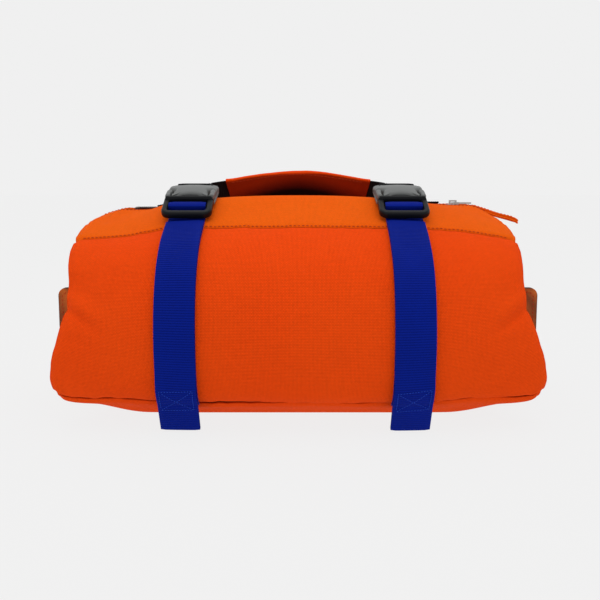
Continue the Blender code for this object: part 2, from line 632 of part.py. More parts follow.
def pouch_shape(side, margin, floor, top, closed):
    """A rounded-rectangle bag on the floor of the shell: up its wall, and over its top where closed."""
    inner, outer = 0.0020 + margin, BAG_HALF_WIDTH * 0.84 - margin

    def shape(u, t):
        base_end, wall_end = 0.2, 0.8 if closed else 1.0
        radial = np.clip(t / base_end, 0, 1)
        if closed:
            radial = np.where(t > wall_end, (1 - t) / (1 - wall_end), radial)
        z = floor + (top - floor) * np.clip((t - base_end) / (wall_end - base_end), 0, 1)
        front, rear = inner_span(z, 0.006 + margin)
        turn = u * 2 * pi
        cx = np.sign(np.cos(turn)) * np.abs(np.cos(turn)) ** 0.45
        cy = np.sign(np.sin(turn)) * np.abs(np.sin(turn)) ** 0.45
        x = side * ((inner + outer) / 2) + cx * (outer - inner) / 2 * radial
        y = (front + rear) / 2 + cy * (rear - front) / 2 * radial
        return np.stack([x, y, z], axis=-1)
    return shape


def contents():
    board_low = SHELL + GAP
    base_y = FRONT_Y + BAG_DEPTH * 0.525
    board = add_object("base_board", box_mesh("base_board", (-BOARD[0] / 2, base_y - BOARD[1] / 2, board_low),
                       (BOARD[0] / 2, base_y + BOARD[1] / 2, board_low + BOARD[2])), (0.05, 0.05, 0.05), 0.6)
    soften(board, 0.0005, 1)
    floor = board_low + BOARD[2] + GAP
    for word, side in (("left", -1), ("right", 1)):
        shape = pouch_shape(side, 0.0, floor, LINER_TOP, False)
        liner = add_object(f"liner_{word}", shaped_grid(f"liner_{word}", 20, 12, shape, weld=True),
                           (0.30, 0.30, 0.28), 0.7)
        thicken(liner, LINER, -1.0)
        inset = LINER + 5 * GAP
        shape = pouch_shape(side, inset, floor + 3 * inset, SAND_TOP, True)
        add_object(f"sand_fill_{word}", shaped_grid(f"sand_fill_{word}", 20, 12, shape, weld=True),
                   (0.42, 0.33, 0.20), 0.95)


canvas_shell()
zip_closure()
zip_end_tab()
strap_set("left", -1)
strap_set("right", 1)
handle()
leather_tab("leather_tab_left", -1)
leather_tab("leather_tab_right", 1)
contents()
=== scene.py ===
"""Small refillable weight bag: a filled canvas shell with a zip, two buckled straps, a carry handle and
leather end tabs. Laid out as an add-on; lengths are metres, front towards -Y, standing on the floor."""
from math import cos, pi, radians, sin

import bpy
import numpy as np
from bpy.props import FloatProperty, FloatVectorProperty, PointerProperty
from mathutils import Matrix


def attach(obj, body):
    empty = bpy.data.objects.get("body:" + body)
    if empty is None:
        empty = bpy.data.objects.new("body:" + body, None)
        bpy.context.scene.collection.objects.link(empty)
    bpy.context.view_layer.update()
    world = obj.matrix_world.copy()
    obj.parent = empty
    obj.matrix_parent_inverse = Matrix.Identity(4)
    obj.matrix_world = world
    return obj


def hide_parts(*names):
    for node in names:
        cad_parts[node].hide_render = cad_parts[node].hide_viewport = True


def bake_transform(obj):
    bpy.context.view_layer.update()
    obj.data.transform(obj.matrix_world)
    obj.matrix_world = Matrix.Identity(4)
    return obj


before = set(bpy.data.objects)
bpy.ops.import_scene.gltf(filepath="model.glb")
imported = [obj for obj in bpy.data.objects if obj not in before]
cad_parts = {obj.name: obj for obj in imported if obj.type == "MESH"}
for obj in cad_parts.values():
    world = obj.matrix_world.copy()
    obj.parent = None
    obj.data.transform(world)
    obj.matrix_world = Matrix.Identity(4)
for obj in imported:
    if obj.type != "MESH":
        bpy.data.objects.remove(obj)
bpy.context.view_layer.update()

bl_info = {
    "name": "Weight bag",
    "version": (1, 0, 0),
    "blender": (4, 5, 0),
    "location": "3D View > Sidebar > Weight bag",
    "description": "Builds a canvas weight bag with its straps, buckles, zip, handle and tabs",
    "category": "Add Mesh",
}


# ---- sizes and colours a user may change -------------------------------------------------------
def length(name, default, description):
    return FloatProperty(name=name, description=description, default=default, min=0.0, unit="LENGTH",
                         precision=5)


def colour(name, default, description):
    return FloatVectorProperty(name=name, description=description, default=default, size=3, min=0.0,
                               max=1.0, subtype="COLOR")


class CanvasSettings(bpy.types.PropertyGroup):
    body: colour("Body canvas", (0.88, 0.066, 0.004), "Canvas of the front, back, base and ends")
    # Painted light: the strips beside the zip get a lighter orange than the body canvas, as they look when
    # lit from above.
    top: colour("Top canvas with painted light", (0.88, 0.112, 0.004), "Canvas of the strips beside the zip")
    thread: colour("Thread", (0.42, 0.035, 0.006), "Seam thread")
    warp: length("Warp pitch", 0.00081, "Distance between upright yarns")
    weft: length("Weft pitch", 0.00093, "Distance between level yarns")
    thickness: length("Thickness", 0.0012, "Canvas with its lining")
    seam: length("Seam depth", 0.0013, "How far a seam sinks")
    pucker: length("Pucker", 0.00045, "Height of the small gathers beside a seam")
    lumps: length("Lumps", 0.0007, "Height of the soft unevenness of the fill")


class WebbingSettings(bpy.types.PropertyGroup):
    blue: colour("Load webbing", (0.0008, 0.0100, 0.200), "Ribbed webbing of the straps")
    black: colour("Handle webbing", (0.009, 0.009, 0.010), "Webbing of the handle and anchors")
    thread: colour("Box stitching", (0.010, 0.045, 0.40), "Thread of the strap ends")
    thickness: length("Thickness", 0.0014, "Thickness of the webbing")
    rib: length("Rib pitch", 0.00156, "Distance between two ribs")
    relief: length("Rib height", 0.00022, "How far a rib stands up")


class HardwareSettings(bpy.types.PropertyGroup):
    body: colour("Buckle body", (0.115, 0.120, 0.118), "Moulded body and its arms")
    ladder: colour("Buckle frame", (0.0035, 0.0040, 0.0050), "Moulded frame that holds the webbing")
    metal: colour("Zip metal", (0.44, 0.43, 0.41), "Slider, pull and stops")
    coil: colour("Zip coil", (0.022, 0.018, 0.018), "Moulded coil of the zip")
    tape: colour("Zip tape", (0.045, 0.012, 0.008), "Woven tape of the zip")


class LeatherSettings(bpy.types.PropertyGroup):
    face: colour("Leather", (0.52, 0.125, 0.014), "Grain side of the end tabs")
    edge: colour("Painted edge", (0.055, 0.014, 0.006), "Painted edge of the end tabs")
    thickness: length("Thickness", 0.0036, "Two layers of leather")


class StageSettings(bpy.types.PropertyGroup):
    eye: FloatVectorProperty(name="Camera", description="Place of the camera", size=3, subtype="TRANSLATION",
                             unit="LENGTH", default=(0.0015, -0.492, 0.161))
    pitch: FloatProperty(name="Pitch", description="How far the camera looks down", default=radians(10),
                         subtype="ANGLE", unit="ROTATION")
    lens: FloatProperty(name="Lens", description="Focal length in millimetres", default=41.8, min=1.0)
    level: FloatProperty(name="Background", description="Brightness of the floor and surroundings",
                         default=0.871, min=0.0, max=1.0)
    key: FloatProperty(name="Top light", description="Power of the soft light overhead", default=6.0,
                       min=0.0, unit="POWER")


GROUPS = {"canvas": CanvasSettings, "webbing": WebbingSettings, "hardware": HardwareSettings,
          "leather": LeatherSettings, "stage": StageSettings}


def settings(name):
    return getattr(bpy.context.scene, "weight_bag_" + name)


# ---- shader maths ------------------------------------------------------------------------------
class Wire:
    """One value of a material. Arithmetic written on it adds Math nodes."""

    def __init__(self, finish, socket):
        self.finish, self.socket = finish, socket

    def math(self, operation, *others):
        values = dict(enumerate((self, *others)))
        return self.finish.node("ShaderNodeMath", {"operation": operation}, values)

    def __add__(self, other):
        return self.math("ADD", other)

    __radd__ = __add__

    def __sub__(self, other):
        return self.math("SUBTRACT", other)

    def __rsub__(self, other):
        return self.finish.node("ShaderNodeMath", {"operation": "SUBTRACT"}, {0: other, 1: self})

    def __mul__(self, other):
        return self.math("MULTIPLY", other)

    __rmul__ = __mul__

    def __truediv__(self, other):
        return self.math("DIVIDE", other)

    def __pow__(self, other):
        return self.math("POWER", other)

    def __gt__(self, other):
        return self.math("GREATER_THAN", other)


class Finish:
    """A material with one Principled shader; constants go straight onto the shader's sockets."""

    def __init__(self, name, **constants):
        self.material = bpy.data.materials.new(name)
        self.material.use_nodes = True
        self.tree = self.material.node_tree
        self.shader = self.tree.nodes["Principled BSDF"]
        for socket, value in constants.items():
            self.shader.inputs[socket.replace("_", " ")].default_value = value

    def feed(self, socket, value):
        if isinstance(value, Wire):
            self.tree.links.new(value.socket, socket)
        elif hasattr(value, "__len__") and len(value) == 3 and socket.type == "RGBA":
            socket.default_value = (*value, 1.0)
        else:
            socket.default_value = value

    def node(self, kind, options=None, inputs=None, output=0):
        """Adds a node: its options first, then the values or links of its sockets."""
        made = self.tree.nodes.new(kind)
        for key, value in (options or {}).items():
            setattr(made, key, value)
        for key, value in (inputs or {}).items():
            self.feed(made.inputs[key], value)
        return Wire(self, made.outputs[output])

    def paint(self, **sockets):
        for socket, value in sockets.items():
            self.feed(self.shader.inputs[socket.replace("_", " ")], value)
        return self.material

    def cloth(self):
        """Across and along the cloth in metres, from the piece's own map."""
        place = self.node("ShaderNodeUVMap", {"uv_map": "cloth"})
        across = self.node("ShaderNodeSeparateXYZ", None, {0: place}, 0)
        along = self.node("ShaderNodeSeparateXYZ", None, {0: place}, 1)
        return place, across, along

    def place(self):
        return self.node("ShaderNodeTexCoord", None, None, "Object")

    def noise(self, place, scale, detail=2.0, rough=0.5, stretch=None):
        if stretch:
            place = self.node("ShaderNodeMapping", None, {"Vector": place, "Scale": stretch})
        return self.node("ShaderNodeTexNoise", None,
                         {"Vector": place, "Scale": scale, "Detail": detail, "Roughness": rough})

    def mix(self, factor, first, second):
        return self.node("ShaderNodeMix", {"data_type": "RGBA"}, {0: factor, 6: first, 7: second}, 2)

    def bump(self, height, distance, strength):
        return self.node("ShaderNodeBump", None,
                         {"Height": height, "Distance": distance, "Strength": strength})

    def edge(self):
        """The piece's own mark: how near its painted rim each point of a leather tab lies, or how much
        painted shade falls on each point of the handle sleeve.
        """
        return self.node("ShaderNodeAttribute", {"attribute_name": "edge"}, None, "Fac")


def shade(rgb, factor):
    return tuple(min(1.0, channel * factor) for channel in rgb)


def canvas_finish(name, rgb, painted_shade=None):
    """Plain weave: yarns cross over and under, with slubs, a little fading and a dry nap. Where the edge
    attribute is high the cloth is darkened towards the given dark colour: painted shade, used on the
    underside of the handle sleeve."""
    cloth = settings("canvas")
    f = Finish(name, Specular_IOR_Level=0.03)
    place, across, along = f.cloth()
    warp = (across * (pi / cloth.warp)).math("SINE")
    weft = (along * (pi / cloth.weft)).math("SINE")
    yarn = (warp * weft).math("ABSOLUTE") ** 0.45
    over = (warp * weft) > 0.0
    slub = (f.noise(place, 420.0, 2.0, 0.6, (1.0, 0.14, 1.0))
            + f.noise(place, 420.0, 2.0, 0.6, (0.14, 1.0, 1.0)))
    worn = f.noise(f.place(), 14.0, 3.0, 0.55)
    fine = f.noise(f.place(), 900.0, 2.0, 0.6)
    # The colour is darker where the yarns dip between crossings: painted shade in the hollows of the weave.
    # Slubs and fine noise add the yarn's own uneven tone.
    tone_and_shade = yarn * 0.75 + over * 0.10 + slub * 0.14 + (fine - 0.5) * 0.42
    body = f.mix(tone_and_shade.math("MINIMUM", 1.0), shade(rgb, 0.42), shade(rgb, 1.16))
    faded_and_shaded = f.mix((worn - 0.35) * 0.5, body, (rgb[0] * 1.02, rgb[1] * 1.5, rgb[2] * 1.6))
    # Painted shade: where the edge attribute is high the colour goes to the given near black, the shade
    # under the handle sleeve.
    if painted_shade:
        faded_and_shaded = f.mix(f.edge(), faded_and_shaded, painted_shade)
    height = yarn + slub * 0.35 + over * 0.10
    return f.paint(Base_Color=faded_and_shaded, Roughness=0.96 - yarn * 0.14,
                   Normal=f.bump(height, 0.00022, 0.9))


def webbing_finish(name, rgb, rib):
    """Polypropylene webbing: ribs across the band, of small slanted filaments, with painted shade darkening
    the grooves.
    """
    f = Finish(name, Specular_IOR_Level=0.04)
    place, across, along = f.cloth()
    ridge = (along * (pi / rib)).math("SINE").math("ABSOLUTE") ** 0.55
    slant = ((across * 1.0 + along * 0.55) * (2 * pi / 0.00105)).math("SINE") * 0.5 + 0.5
    strands = f.noise(place, 900.0, 2.0, 0.6, (1.0, 0.3, 1.0))
    wear = f.noise(f.place(), 30.0, 3.0, 0.6)
    # Painted shade: the colour darkens in the grooves between the ribs. The slanted filaments and strands
    # are the webbing's own pattern.
    tone_and_shade = ridge * 0.62 + slant * 0.16 + strands * 0.22
    body = f.mix(tone_and_shade, shade(rgb, 0.40), shade(rgb, 1.25))
    return f.paint(Base_Color=f.mix((wear - 0.45) * 0.5, body, shade(rgb, 1.7)),
                   Roughness=0.72 - ridge * 0.22 + strands * 0.08,
                   Normal=f.bump(slant * 0.6 + strands * 0.5 + ridge * 0.4, 0.00016, 0.8))


def thread_finish(name, rgb):
    """Twisted sewing thread with a slight gloss."""
    f = Finish(name, Specular_IOR_Level=0.12)
    twist = f.noise(f.place(), 2600.0, 2.0)
    return f.paint(Base_Color=f.mix(twist, shade(rgb, 0.7), shade(rgb, 1.25)), Roughness=0.7 - twist * 0.2,
                   Normal=f.bump(twist, 0.0001, 0.6))


def moulded_finish(name, rgb, rough, gloss=0.30):
    """Acetal: a fine spark-eroded grain, faint flow marks and rubbed spots."""
    f = Finish(name, Specular_IOR_Level=gloss)
    spot = f.place()
    grain = f.noise(spot, 2400.0, 3.0, 0.65)
    flow = f.noise(spot, 90.0, 3.0, 0.6, (1.0, 0.35, 1.0))
    rub = f.noise(spot, 220.0, 4.0, 0.7)
    body = f.mix(flow * 0.6 + grain * 0.4, shade(rgb, 0.78), shade(rgb, 1.25))
    return f.paint(Base_Color=f.mix((rub > 0.68) * 0.25, body, shade(rgb, 2.1)),
                   Roughness=rough + (grain - 0.5) * 0.22 + (flow - 0.5) * 0.12,
                   Normal=f.bump(grain + rub * 0.3, 0.00005, 0.7))


def metal_finish(name, rgb):
    """Plated die casting, softly brushed, duller in its low spots."""
    f = Finish(name, Metallic=1.0)
    spot = f.place()
    brushed = f.noise(spot, 1500.0, 3.0, 0.6, (0.2, 1.0, 1.0))
    cast = f.noise(spot, 500.0, 3.0)
    return f.paint(Base_Color=f.mix(cast, shade(rgb, 0.7), shade(rgb, 1.3)),
                   Roughness=0.24 + brushed * 0.16 + cast * 0.10,
                   Normal=f.bump(brushed + cast, 0.00004, 0.6))


def leather_finish(name, rgb, painted):
    """Vegetable-tanned leather: pebbled grain and pores, darker towards its painted outer edge."""
    f = Finish(name, Specular_IOR_Level=0.18)
    spot = f.place()
    pebble = f.node("ShaderNodeTexVoronoi", {"feature": "DISTANCE_TO_EDGE"},
                    {"Vector": spot, "Scale": 900.0})
    pores = f.noise(spot, 2600.0, 2.0)
    cloudy = f.noise(spot, 55.0, 4.0, 0.6)
    outer = f.edge()
    grain = (pebble * 5.0).math("MINIMUM", 1.0)
    body = f.mix(cloudy * 0.7 + grain * 0.3, shade(rgb, 0.62), shade(rgb, 1.25))
    return f.paint(Base_Color=f.mix(outer, body, painted), Roughness=0.62 - grain * 0.14 - outer * 0.15,
                   Normal=f.bump(grain + pores * 0.4, 0.00012, 0.7))


def sand_finish(name):
    """Washed play sand: pale and dark grains."""
    f = Finish(name, Roughness=0.95)
    spot = f.place()
    grains = f.node("ShaderNodeTexVoronoi", None, {"Vector": spot, "Scale": 1400.0}, "Color")
    tint = f.node("ShaderNodeSeparateXYZ", None, {0: grains}, 0)
    return f.paint(Base_Color=f.mix(tint, (0.24, 0.17, 0.09), (0.62, 0.52, 0.36)),
                   Normal=f.bump(tint, 0.0004, 0.8))


MADE = {}


def finish_for(name):
    """The finish of that name, made the first time it is asked for."""
    if name in MADE:
        return MADE[name]
    canvas, webbing, metal = settings("canvas"), settings("webbing"), settings("hardware")
    leather = settings("leather")
    makers = {
        "canvas": lambda: canvas_finish("body canvas", tuple(canvas.body)),
        # The top strips and the zip end tab take the lighter canvas: painted light from above.
        "canvas_top": lambda: canvas_finish("top canvas with painted light", tuple(canvas.top)),
        # The sleeve canvas is darkened towards near black on its underside: painted shade under the handle.
        "canvas_sleeve": lambda: canvas_finish("sleeve canvas with painted shade", tuple(canvas.body), (0.006, 0.0009, 0.0006)),
        "canvas_thread": lambda: thread_finish("seam thread", tuple(canvas.thread)),
        "blue_webbing": lambda: webbing_finish("blue webbing", tuple(webbing.blue), webbing.rib),
        "black_webbing": lambda: webbing_finish("black webbing", tuple(webbing.black), webbing.rib),
        "webbing_thread": lambda: thread_finish("box stitch thread", tuple(webbing.thread)),
        "buckle_body": lambda: moulded_finish("buckle body acetal", tuple(metal.body), 0.46),
        "buckle_frame": lambda: moulded_finish("buckle frame acetal", tuple(metal.ladder), 0.36, 0.14),
        "zip_metal": lambda: metal_finish("zip plating", tuple(metal.metal)),
        "zip_teeth": lambda: moulded_finish("zip coil nylon", tuple(metal.coil), 0.40),
        "zip_tape": lambda: webbing_finish("zip tape", tuple(metal.tape), 0.0009),
        "tan_leather": lambda: leather_finish("tan leather", tuple(leather.face), tuple(leather.edge)),
        "board": lambda: moulded_finish("base board", (0.05, 0.05, 0.05), 0.6),
        "liner": lambda: moulded_finish("liner film", (0.30, 0.30, 0.28), 0.5),
        "sand": lambda: sand_finish("sand"),
    }
    MADE[name] = makers[name]()
    return MADE[name]


# ---- meshes from arrays ------------------------------------------------------------------------
def grid_faces(rows, columns, wrap_rows=False, wrap_columns=False):
    """Quads of a grid of rows by columns; they face along (column direction) x (row direction)."""
    row = np.arange(rows if wrap_rows else rows - 1)[:, None]
    column = np.arange(columns if wrap_columns else columns - 1)[None, :]
    after_row, after_column = (row + 1) % rows, (column + 1) % columns
    corners = [row * columns + column, row * columns + after_column,
               after_row * columns + after_column, after_row * columns + column]
    return np.stack(corners, axis=-1).reshape(-1, 4)


def new_piece(name, points, faces, finish, body="root", nodes=(), cloth=None, edge=None, slot=None,
              sharp=40):
    """A mesh piece from arrays of points and of faces of each size, riding on its body."""
    points = np.asarray(points, float).reshape(-1, 3)
    corners = np.concatenate([np.asarray(part).ravel() for part in faces])
    sides = np.concatenate([np.full(len(part), np.shape(part)[1]) for part in faces])
    mesh = bpy.data.meshes.new(name)
    mesh.vertices.add(len(points))
    mesh.vertices.foreach_set("co", points.astype(np.float32).ravel())
    mesh.loops.add(len(corners))
    mesh.loops.foreach_set("vertex_index", corners.astype(np.int32))
    mesh.polygons.add(len(sides))
    mesh.polygons.foreach_set("loop_start", np.concatenate([[0], np.cumsum(sides)[:-1]]).astype(np.int32))
    mesh.update(calc_edges=True)
    if mesh.validate():
        raise RuntimeError(f"{name}: its faces were not sound")
    if cloth is not None:
        layer = mesh.uv_layers.new(name="cloth")
        flat = np.asarray(cloth, float).reshape(-1, 2)[corners]
        layer.data.foreach_set("uv", flat.astype(np.float32).ravel())
    if edge is not None:
        mark = mesh.attributes.new("edge", "FLOAT", "POINT")
        mark.data.foreach_set("value", np.asarray(edge, np.float32).ravel())
    mesh.shade_smooth()
    mesh.set_sharp_from_angle(angle=radians(sharp))
    piece = bpy.data.objects.new(name, mesh)
    bpy.context.scene.collection.objects.link(piece)
    mesh.materials.append(finish_for(finish))
    if body:
        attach(piece, body)
    if nodes:
        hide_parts(*nodes)
    return piece


def stacked(*axes):
    """Coordinates of one another's shape, put together as points."""
    return np.stack(np.broadcast_arrays(*axes), axis=-1)


def lengths(path):
    """Length along a path up to each of its points."""
    return np.concatenate([[0.0], np.cumsum(np.linalg.norm(np.diff(path, axis=0), axis=1))])


def unit(vectors):
    return vectors / np.maximum(np.linalg.norm(vectors, axis=-1, keepdims=True), 1e-12)


def soft_step(value, low, high):
    t = np.clip((value - low) / (high - low), 0.0, 1.0)
    return t * t * (3 - 2 * t)


def ripple(x, y, seed):
    """Smooth noise about zero: random heights on a unit grid, joined by smooth steps."""
    heights = np.random.default_rng(seed).uniform(-1.0, 1.0, (64, 64))
    x, y = np.broadcast_arrays(x, y)
    column, row = np.floor(x).astype(int), np.floor(y).astype(int)
    across, up = x - column, y - row
    across, up = across * across * (3 - 2 * across), up * up * (3 - 2 * up)

    def at(dx, dy):
        return heights[(row + dy) % 64, (column + dx) % 64]
    low = at(0, 0) * (1 - across) + at(1, 0) * across
    high = at(0, 1) * (1 - across) + at(1, 1) * across
    return low * (1 - up) + high * up


# ---- the filled shape of the bag ---------------------------------------------------------------
# The same closed section as the solid model's: up the front, over the top, down the back, under the base.
BAG_DEPTH, BAG_HEIGHT, BAG_HALF_WIDTH, FRONT_Y = 0.164, 0.149, 0.155, -0.0803
ZIP_DEPTH, ZIP_Z, ZIP_CLEAR, STRIP_EDGE_Z = 0.118, 0.1382, 0.0062, 0.1407
SECTION = np.array([
    (0.085, 0.122, 0.150, 0.184, 1.012, 0.00, 4.0), (0.024, 0.201, 0.118, 0.275, 1.022, 0.00, 3.5),
    (0.000, 0.362, 0.110, 0.403, 0.990, 0.00, 3.5), (0.021, 0.537, 0.134, 0.537, 0.955, 0.00, 3.5),
    (0.085, 0.685, 0.183, 0.658, 0.950, 0.00, 3.5), (0.183, 0.787, 0.256, 0.745, 0.960, 0.00, 3.5),
    (0.317, 0.866, 0.354, 0.805, 0.964, 0.00, 3.5), (0.451, 0.936, 0.463, 0.845, 0.970, 0.00, 3.0),
    (0.579, 0.994, 0.585, 0.876, 0.965, 0.00, 2.4), (0.682, 0.960, 0.682, 0.876, 0.955, 0.86, 1.6),
    (0.757, 0.960, 0.757, 0.876, 0.955, 0.86, 1.6), (0.805, 0.940, 0.799, 0.873, 0.955, 0.86, 1.6),
    (0.872, 0.890, 0.841, 0.839, 0.948, 0.00, 4.0), (0.951, 0.752, 0.890, 0.725, 0.948, 0.00, 3.5),
    (0.994, 0.564, 0.909, 0.564, 0.955, 0.00, 3.5), (1.000, 0.376, 0.909, 0.403, 0.974, 0.00, 3.5),
    (0.976, 0.201, 0.890, 0.268, 0.980, 0.00, 3.5), (0.921, 0.087, 0.841, 0.161, 0.942, 0.00, 3.5),
    (0.829, 0.008, 0.744, 0.067, 0.916, 0.72, 2.0), (0.683, 0.000, 0.634, 0.054, 0.903, 0.72, 2.0),
    (0.335, 0.000, 0.385, 0.054, 0.903, 0.72, 2.0), (0.190, 0.064, 0.240, 0.118, 0.950, 0.40, 3.5),
])
FRONT_BASE, FRONT_TOP, ZIP_FRONT, ZIP_REAR, REAR_TOP, REAR_BASE, AROUND = 0, 6, 9, 10, 12, 17, 22
SEAMS = (FRONT_BASE, FRONT_TOP, REAR_TOP, REAR_BASE, AROUND)
CENTRE = SECTION[:, 0:2] * (BAG_DEPTH, BAG_HEIGHT)
ENDS = SECTION[:, 2:4] * (BAG_DEPTH, BAG_HEIGHT)
HALF_WIDTHS = SECTION[:, 4] * BAG_HALF_WIDTH
CENTRE[ZIP_FRONT] = (ZIP_DEPTH - ZIP_CLEAR, STRIP_EDGE_Z)
CENTRE[ZIP_REAR] = (ZIP_DEPTH + ZIP_CLEAR, STRIP_EDGE_Z)
ENDS[ZIP_FRONT, 0] = ZIP_DEPTH - ZIP_CLEAR
ENDS[ZIP_REAR, 0] = ZIP_DEPTH + ZIP_CLEAR


def spline_weights(v):
    """The four control lines round each place v, with the weights of a smooth curve through them."""
    first = np.floor(v).astype(int)
    t = (v - first)[..., None]
    weights = 0.5 * np.concatenate([-t + 2 * t**2 - t**3, 2 - 5 * t**2 + 3 * t**3,
                                    t + 4 * t**2 - 3 * t**3, -t**2 + t**3], axis=-1)
    return (first[..., None] + np.arange(-1, 3)) % AROUND, weights


def half_width(v):
    near, weights = spline_weights(np.asarray(v, float))
    return (HALF_WIDTHS[near] * weights).sum(-1)


def bag_point(s, v):
    """Smooth bag: a section curve in v that blends from its middle to its end form along s, -1 to 1."""
    s, v = np.broadcast_arrays(np.asarray(s, float), np.asarray(v, float))
    near, weights = spline_weights(v)
    share = (np.abs(s)[..., None] - SECTION[near, 5]) / (1 - SECTION[near, 5])
    pull = (np.clip(share, 0.0, 1.0) ** SECTION[near, 6])[..., None]
    section = ((CENTRE[near] * (1 - pull) + ENDS[near] * pull) * weights[..., None]).sum(-2)
    return stacked(s * half_width(v), FRONT_Y + section[..., 0], np.maximum(section[..., 1], 0.0))


def bag_normal(s, v):
    """Outward direction, from small steps both ways."""
    step = 1e-3
    along = bag_point(s + step, v) - bag_point(s - step, v)
    around = bag_point(s, v + step) - bag_point(s, v - step)
    return unit(np.cross(along, around))


def girth(count=2201):
    """Length round the middle section up to each place v."""
    v = np.linspace(0.0, AROUND, count)
    steps = np.linalg.norm(np.diff(bag_point(0.0, v), axis=0), axis=1)
    return v, np.concatenate([[0.0], np.cumsum(steps)])


GIRTH_V, GIRTH = girth()


def round_length(v):
    return np.interp(v, GIRTH_V, GIRTH)


def end_folds(s, v):
    """How far the canvas sinks at the ends, where the fill stops short: a pinch in the front edge of each
    end, deeper on the left, with a soft fold running in from it."""
    x = s * half_width(v)
    left = soft_step(-x, 0.118, 0.148) * np.exp(-((v - 3.45) / 0.75) ** 2) * 0.0034
    right = soft_step(x, 0.122, 0.150) * np.exp(-((v - 3.2) / 0.80) ** 2) * 0.0014
    line = (v - 2.5) - (np.abs(x) - 0.128) * 22.0
    crease = np.exp(-(line / 0.16) ** 2) * soft_step(np.abs(x), 0.112, 0.138) * 0.0016
    ridge = np.exp(-((line - 0.42) / 0.26) ** 2) * soft_step(np.abs(x), 0.116, 0.140) * 0.0016
    return -left - right - crease + ridge


def relief(s, v, fine=True):
    """Height over the smooth bag: soft lumps of the fill and end folds, and where fine is on, the sunk
    seams with their gathers."""
    cloth = settings("canvas")
    x, around = s * half_width(v), round_length(v)
    calm = soft_step(np.abs(v - 8.8), 2.2, 4.0)
    flat = 1 - soft_step(v, 17.0, 17.8) * (1 - soft_step(v, 21.2, 22.0))
    lumps = ripple(x / 0.045 + 20, around / 0.040 + 7, 3) + 0.5 * ripple(x / 0.020 + 9, around / 0.022, 5)
    height = cloth.lumps * lumps * calm * flat + end_folds(s, v) * (v < 12)
    if not fine:
        return height
    rim = (1 - np.abs(s)) * half_width(v)
    height = height - cloth.seam * np.exp(-(rim / 0.0026) ** 2)
    for seam in SEAMS:
        off = np.abs(around - round_length(float(seam)))
        gather = ripple(x / 0.0050 + 31, np.full_like(x, seam * 3.7) + off / 0.03, 11)
        gather = gather * np.exp(-off / 0.0085)
        height = height - cloth.seam * np.exp(-(off / 0.0022) ** 2) + cloth.pucker * gather * flat
    gather = ripple(around / 0.0060, np.full_like(x, 5.5) + rim / 0.03, 13) * np.exp(-rim / 0.010)
    return height + cloth.pucker * 1.4 * gather * flat


def settled(point):
    """Points moved as the fill has slumped: the ends sag onto their lower corners, more on the right, and
    the crest drops towards the left end."""
    x, z = point[..., 0], point[..., 2]
    side, out = np.sign(x), soft_step(np.abs(x), 0.108, 0.156)
    low = out * soft_step(0.066 - z, 0.0, 0.046)
    drop = low * soft_step(z, 0.0, 0.022)
    high = out * soft_step(z, 0.060, 0.095)
    crest = soft_step(-x, 0.090, 0.114) * soft_step(0.152 + x, 0.0, 0.030) * soft_step(z, 0.105, 0.136)
    wider, shifted = np.where(side > 0, 0.0034, 0.0014), np.where(side > 0, 0.0018, 0.0014)
    point[..., 0] = x + side * low * wider - shifted * high
    point[..., 2] = np.maximum(z - drop * 0.0064 - crest * 0.0034, 0.0)
    return point


def skin(s, v, lift=0.0, fine=True):
    """A point of the uneven canvas, raised by lift."""
    s, v = np.broadcast_arrays(np.asarray(s, float), np.asarray(v, float))
    height = relief(s, v, fine) + lift
    point = bag_point(s, v) + bag_normal(s, v) * height[..., None]
    return settled(point)


def over_bag(x, v, lift):
    """Points at the given x on the bag without its small seams, raised by lift."""
    return skin(x / half_width(v), v, lift, fine=False)


SEAM_GAP = 0.0005


def trimmed(low, high):
    """The stretch from low to high, less half a seam's gap at each end."""
    def speed(v):
        return np.linalg.norm(bag_point(0.0, v + 1e-3) - bag_point(0.0, v - 1e-3)) / 2e-3
    return low + SEAM_GAP / 2 / speed(low), high - SEAM_GAP / 2 / speed(high)


def thicken(piece, thickness, offset=-1.0):
    solid = piece.modifiers.new("cloth thickness", "SOLIDIFY")
    solid.thickness, solid.offset = thickness, offset


def wrap_panel(name, low, high, rows, finish="canvas", columns=190):
    """One panel of the wrap: a grid over the skin from seam to seam, closer together towards its rims."""
    low, high = trimmed(low, high)
    turn = np.linspace(-1.0, 1.0, columns)
    s = np.sin(turn * pi / 2) * 0.65 + turn * 0.35
    share = np.linspace(0.0, 1.0, rows)
    share = share - np.sin(2 * pi * share) / (2 * pi) * 0.45
    s, v = np.meshgrid(s, low + (high - low) * share)
    cloth = np.stack([s * half_width(v), round_length(v)], axis=-1)
    piece = new_piece(name, skin(s, v), [grid_faces(rows, columns)], finish, nodes=(name,), cloth=cloth)
    thicken(piece, settings("canvas").thickness)
    return piece


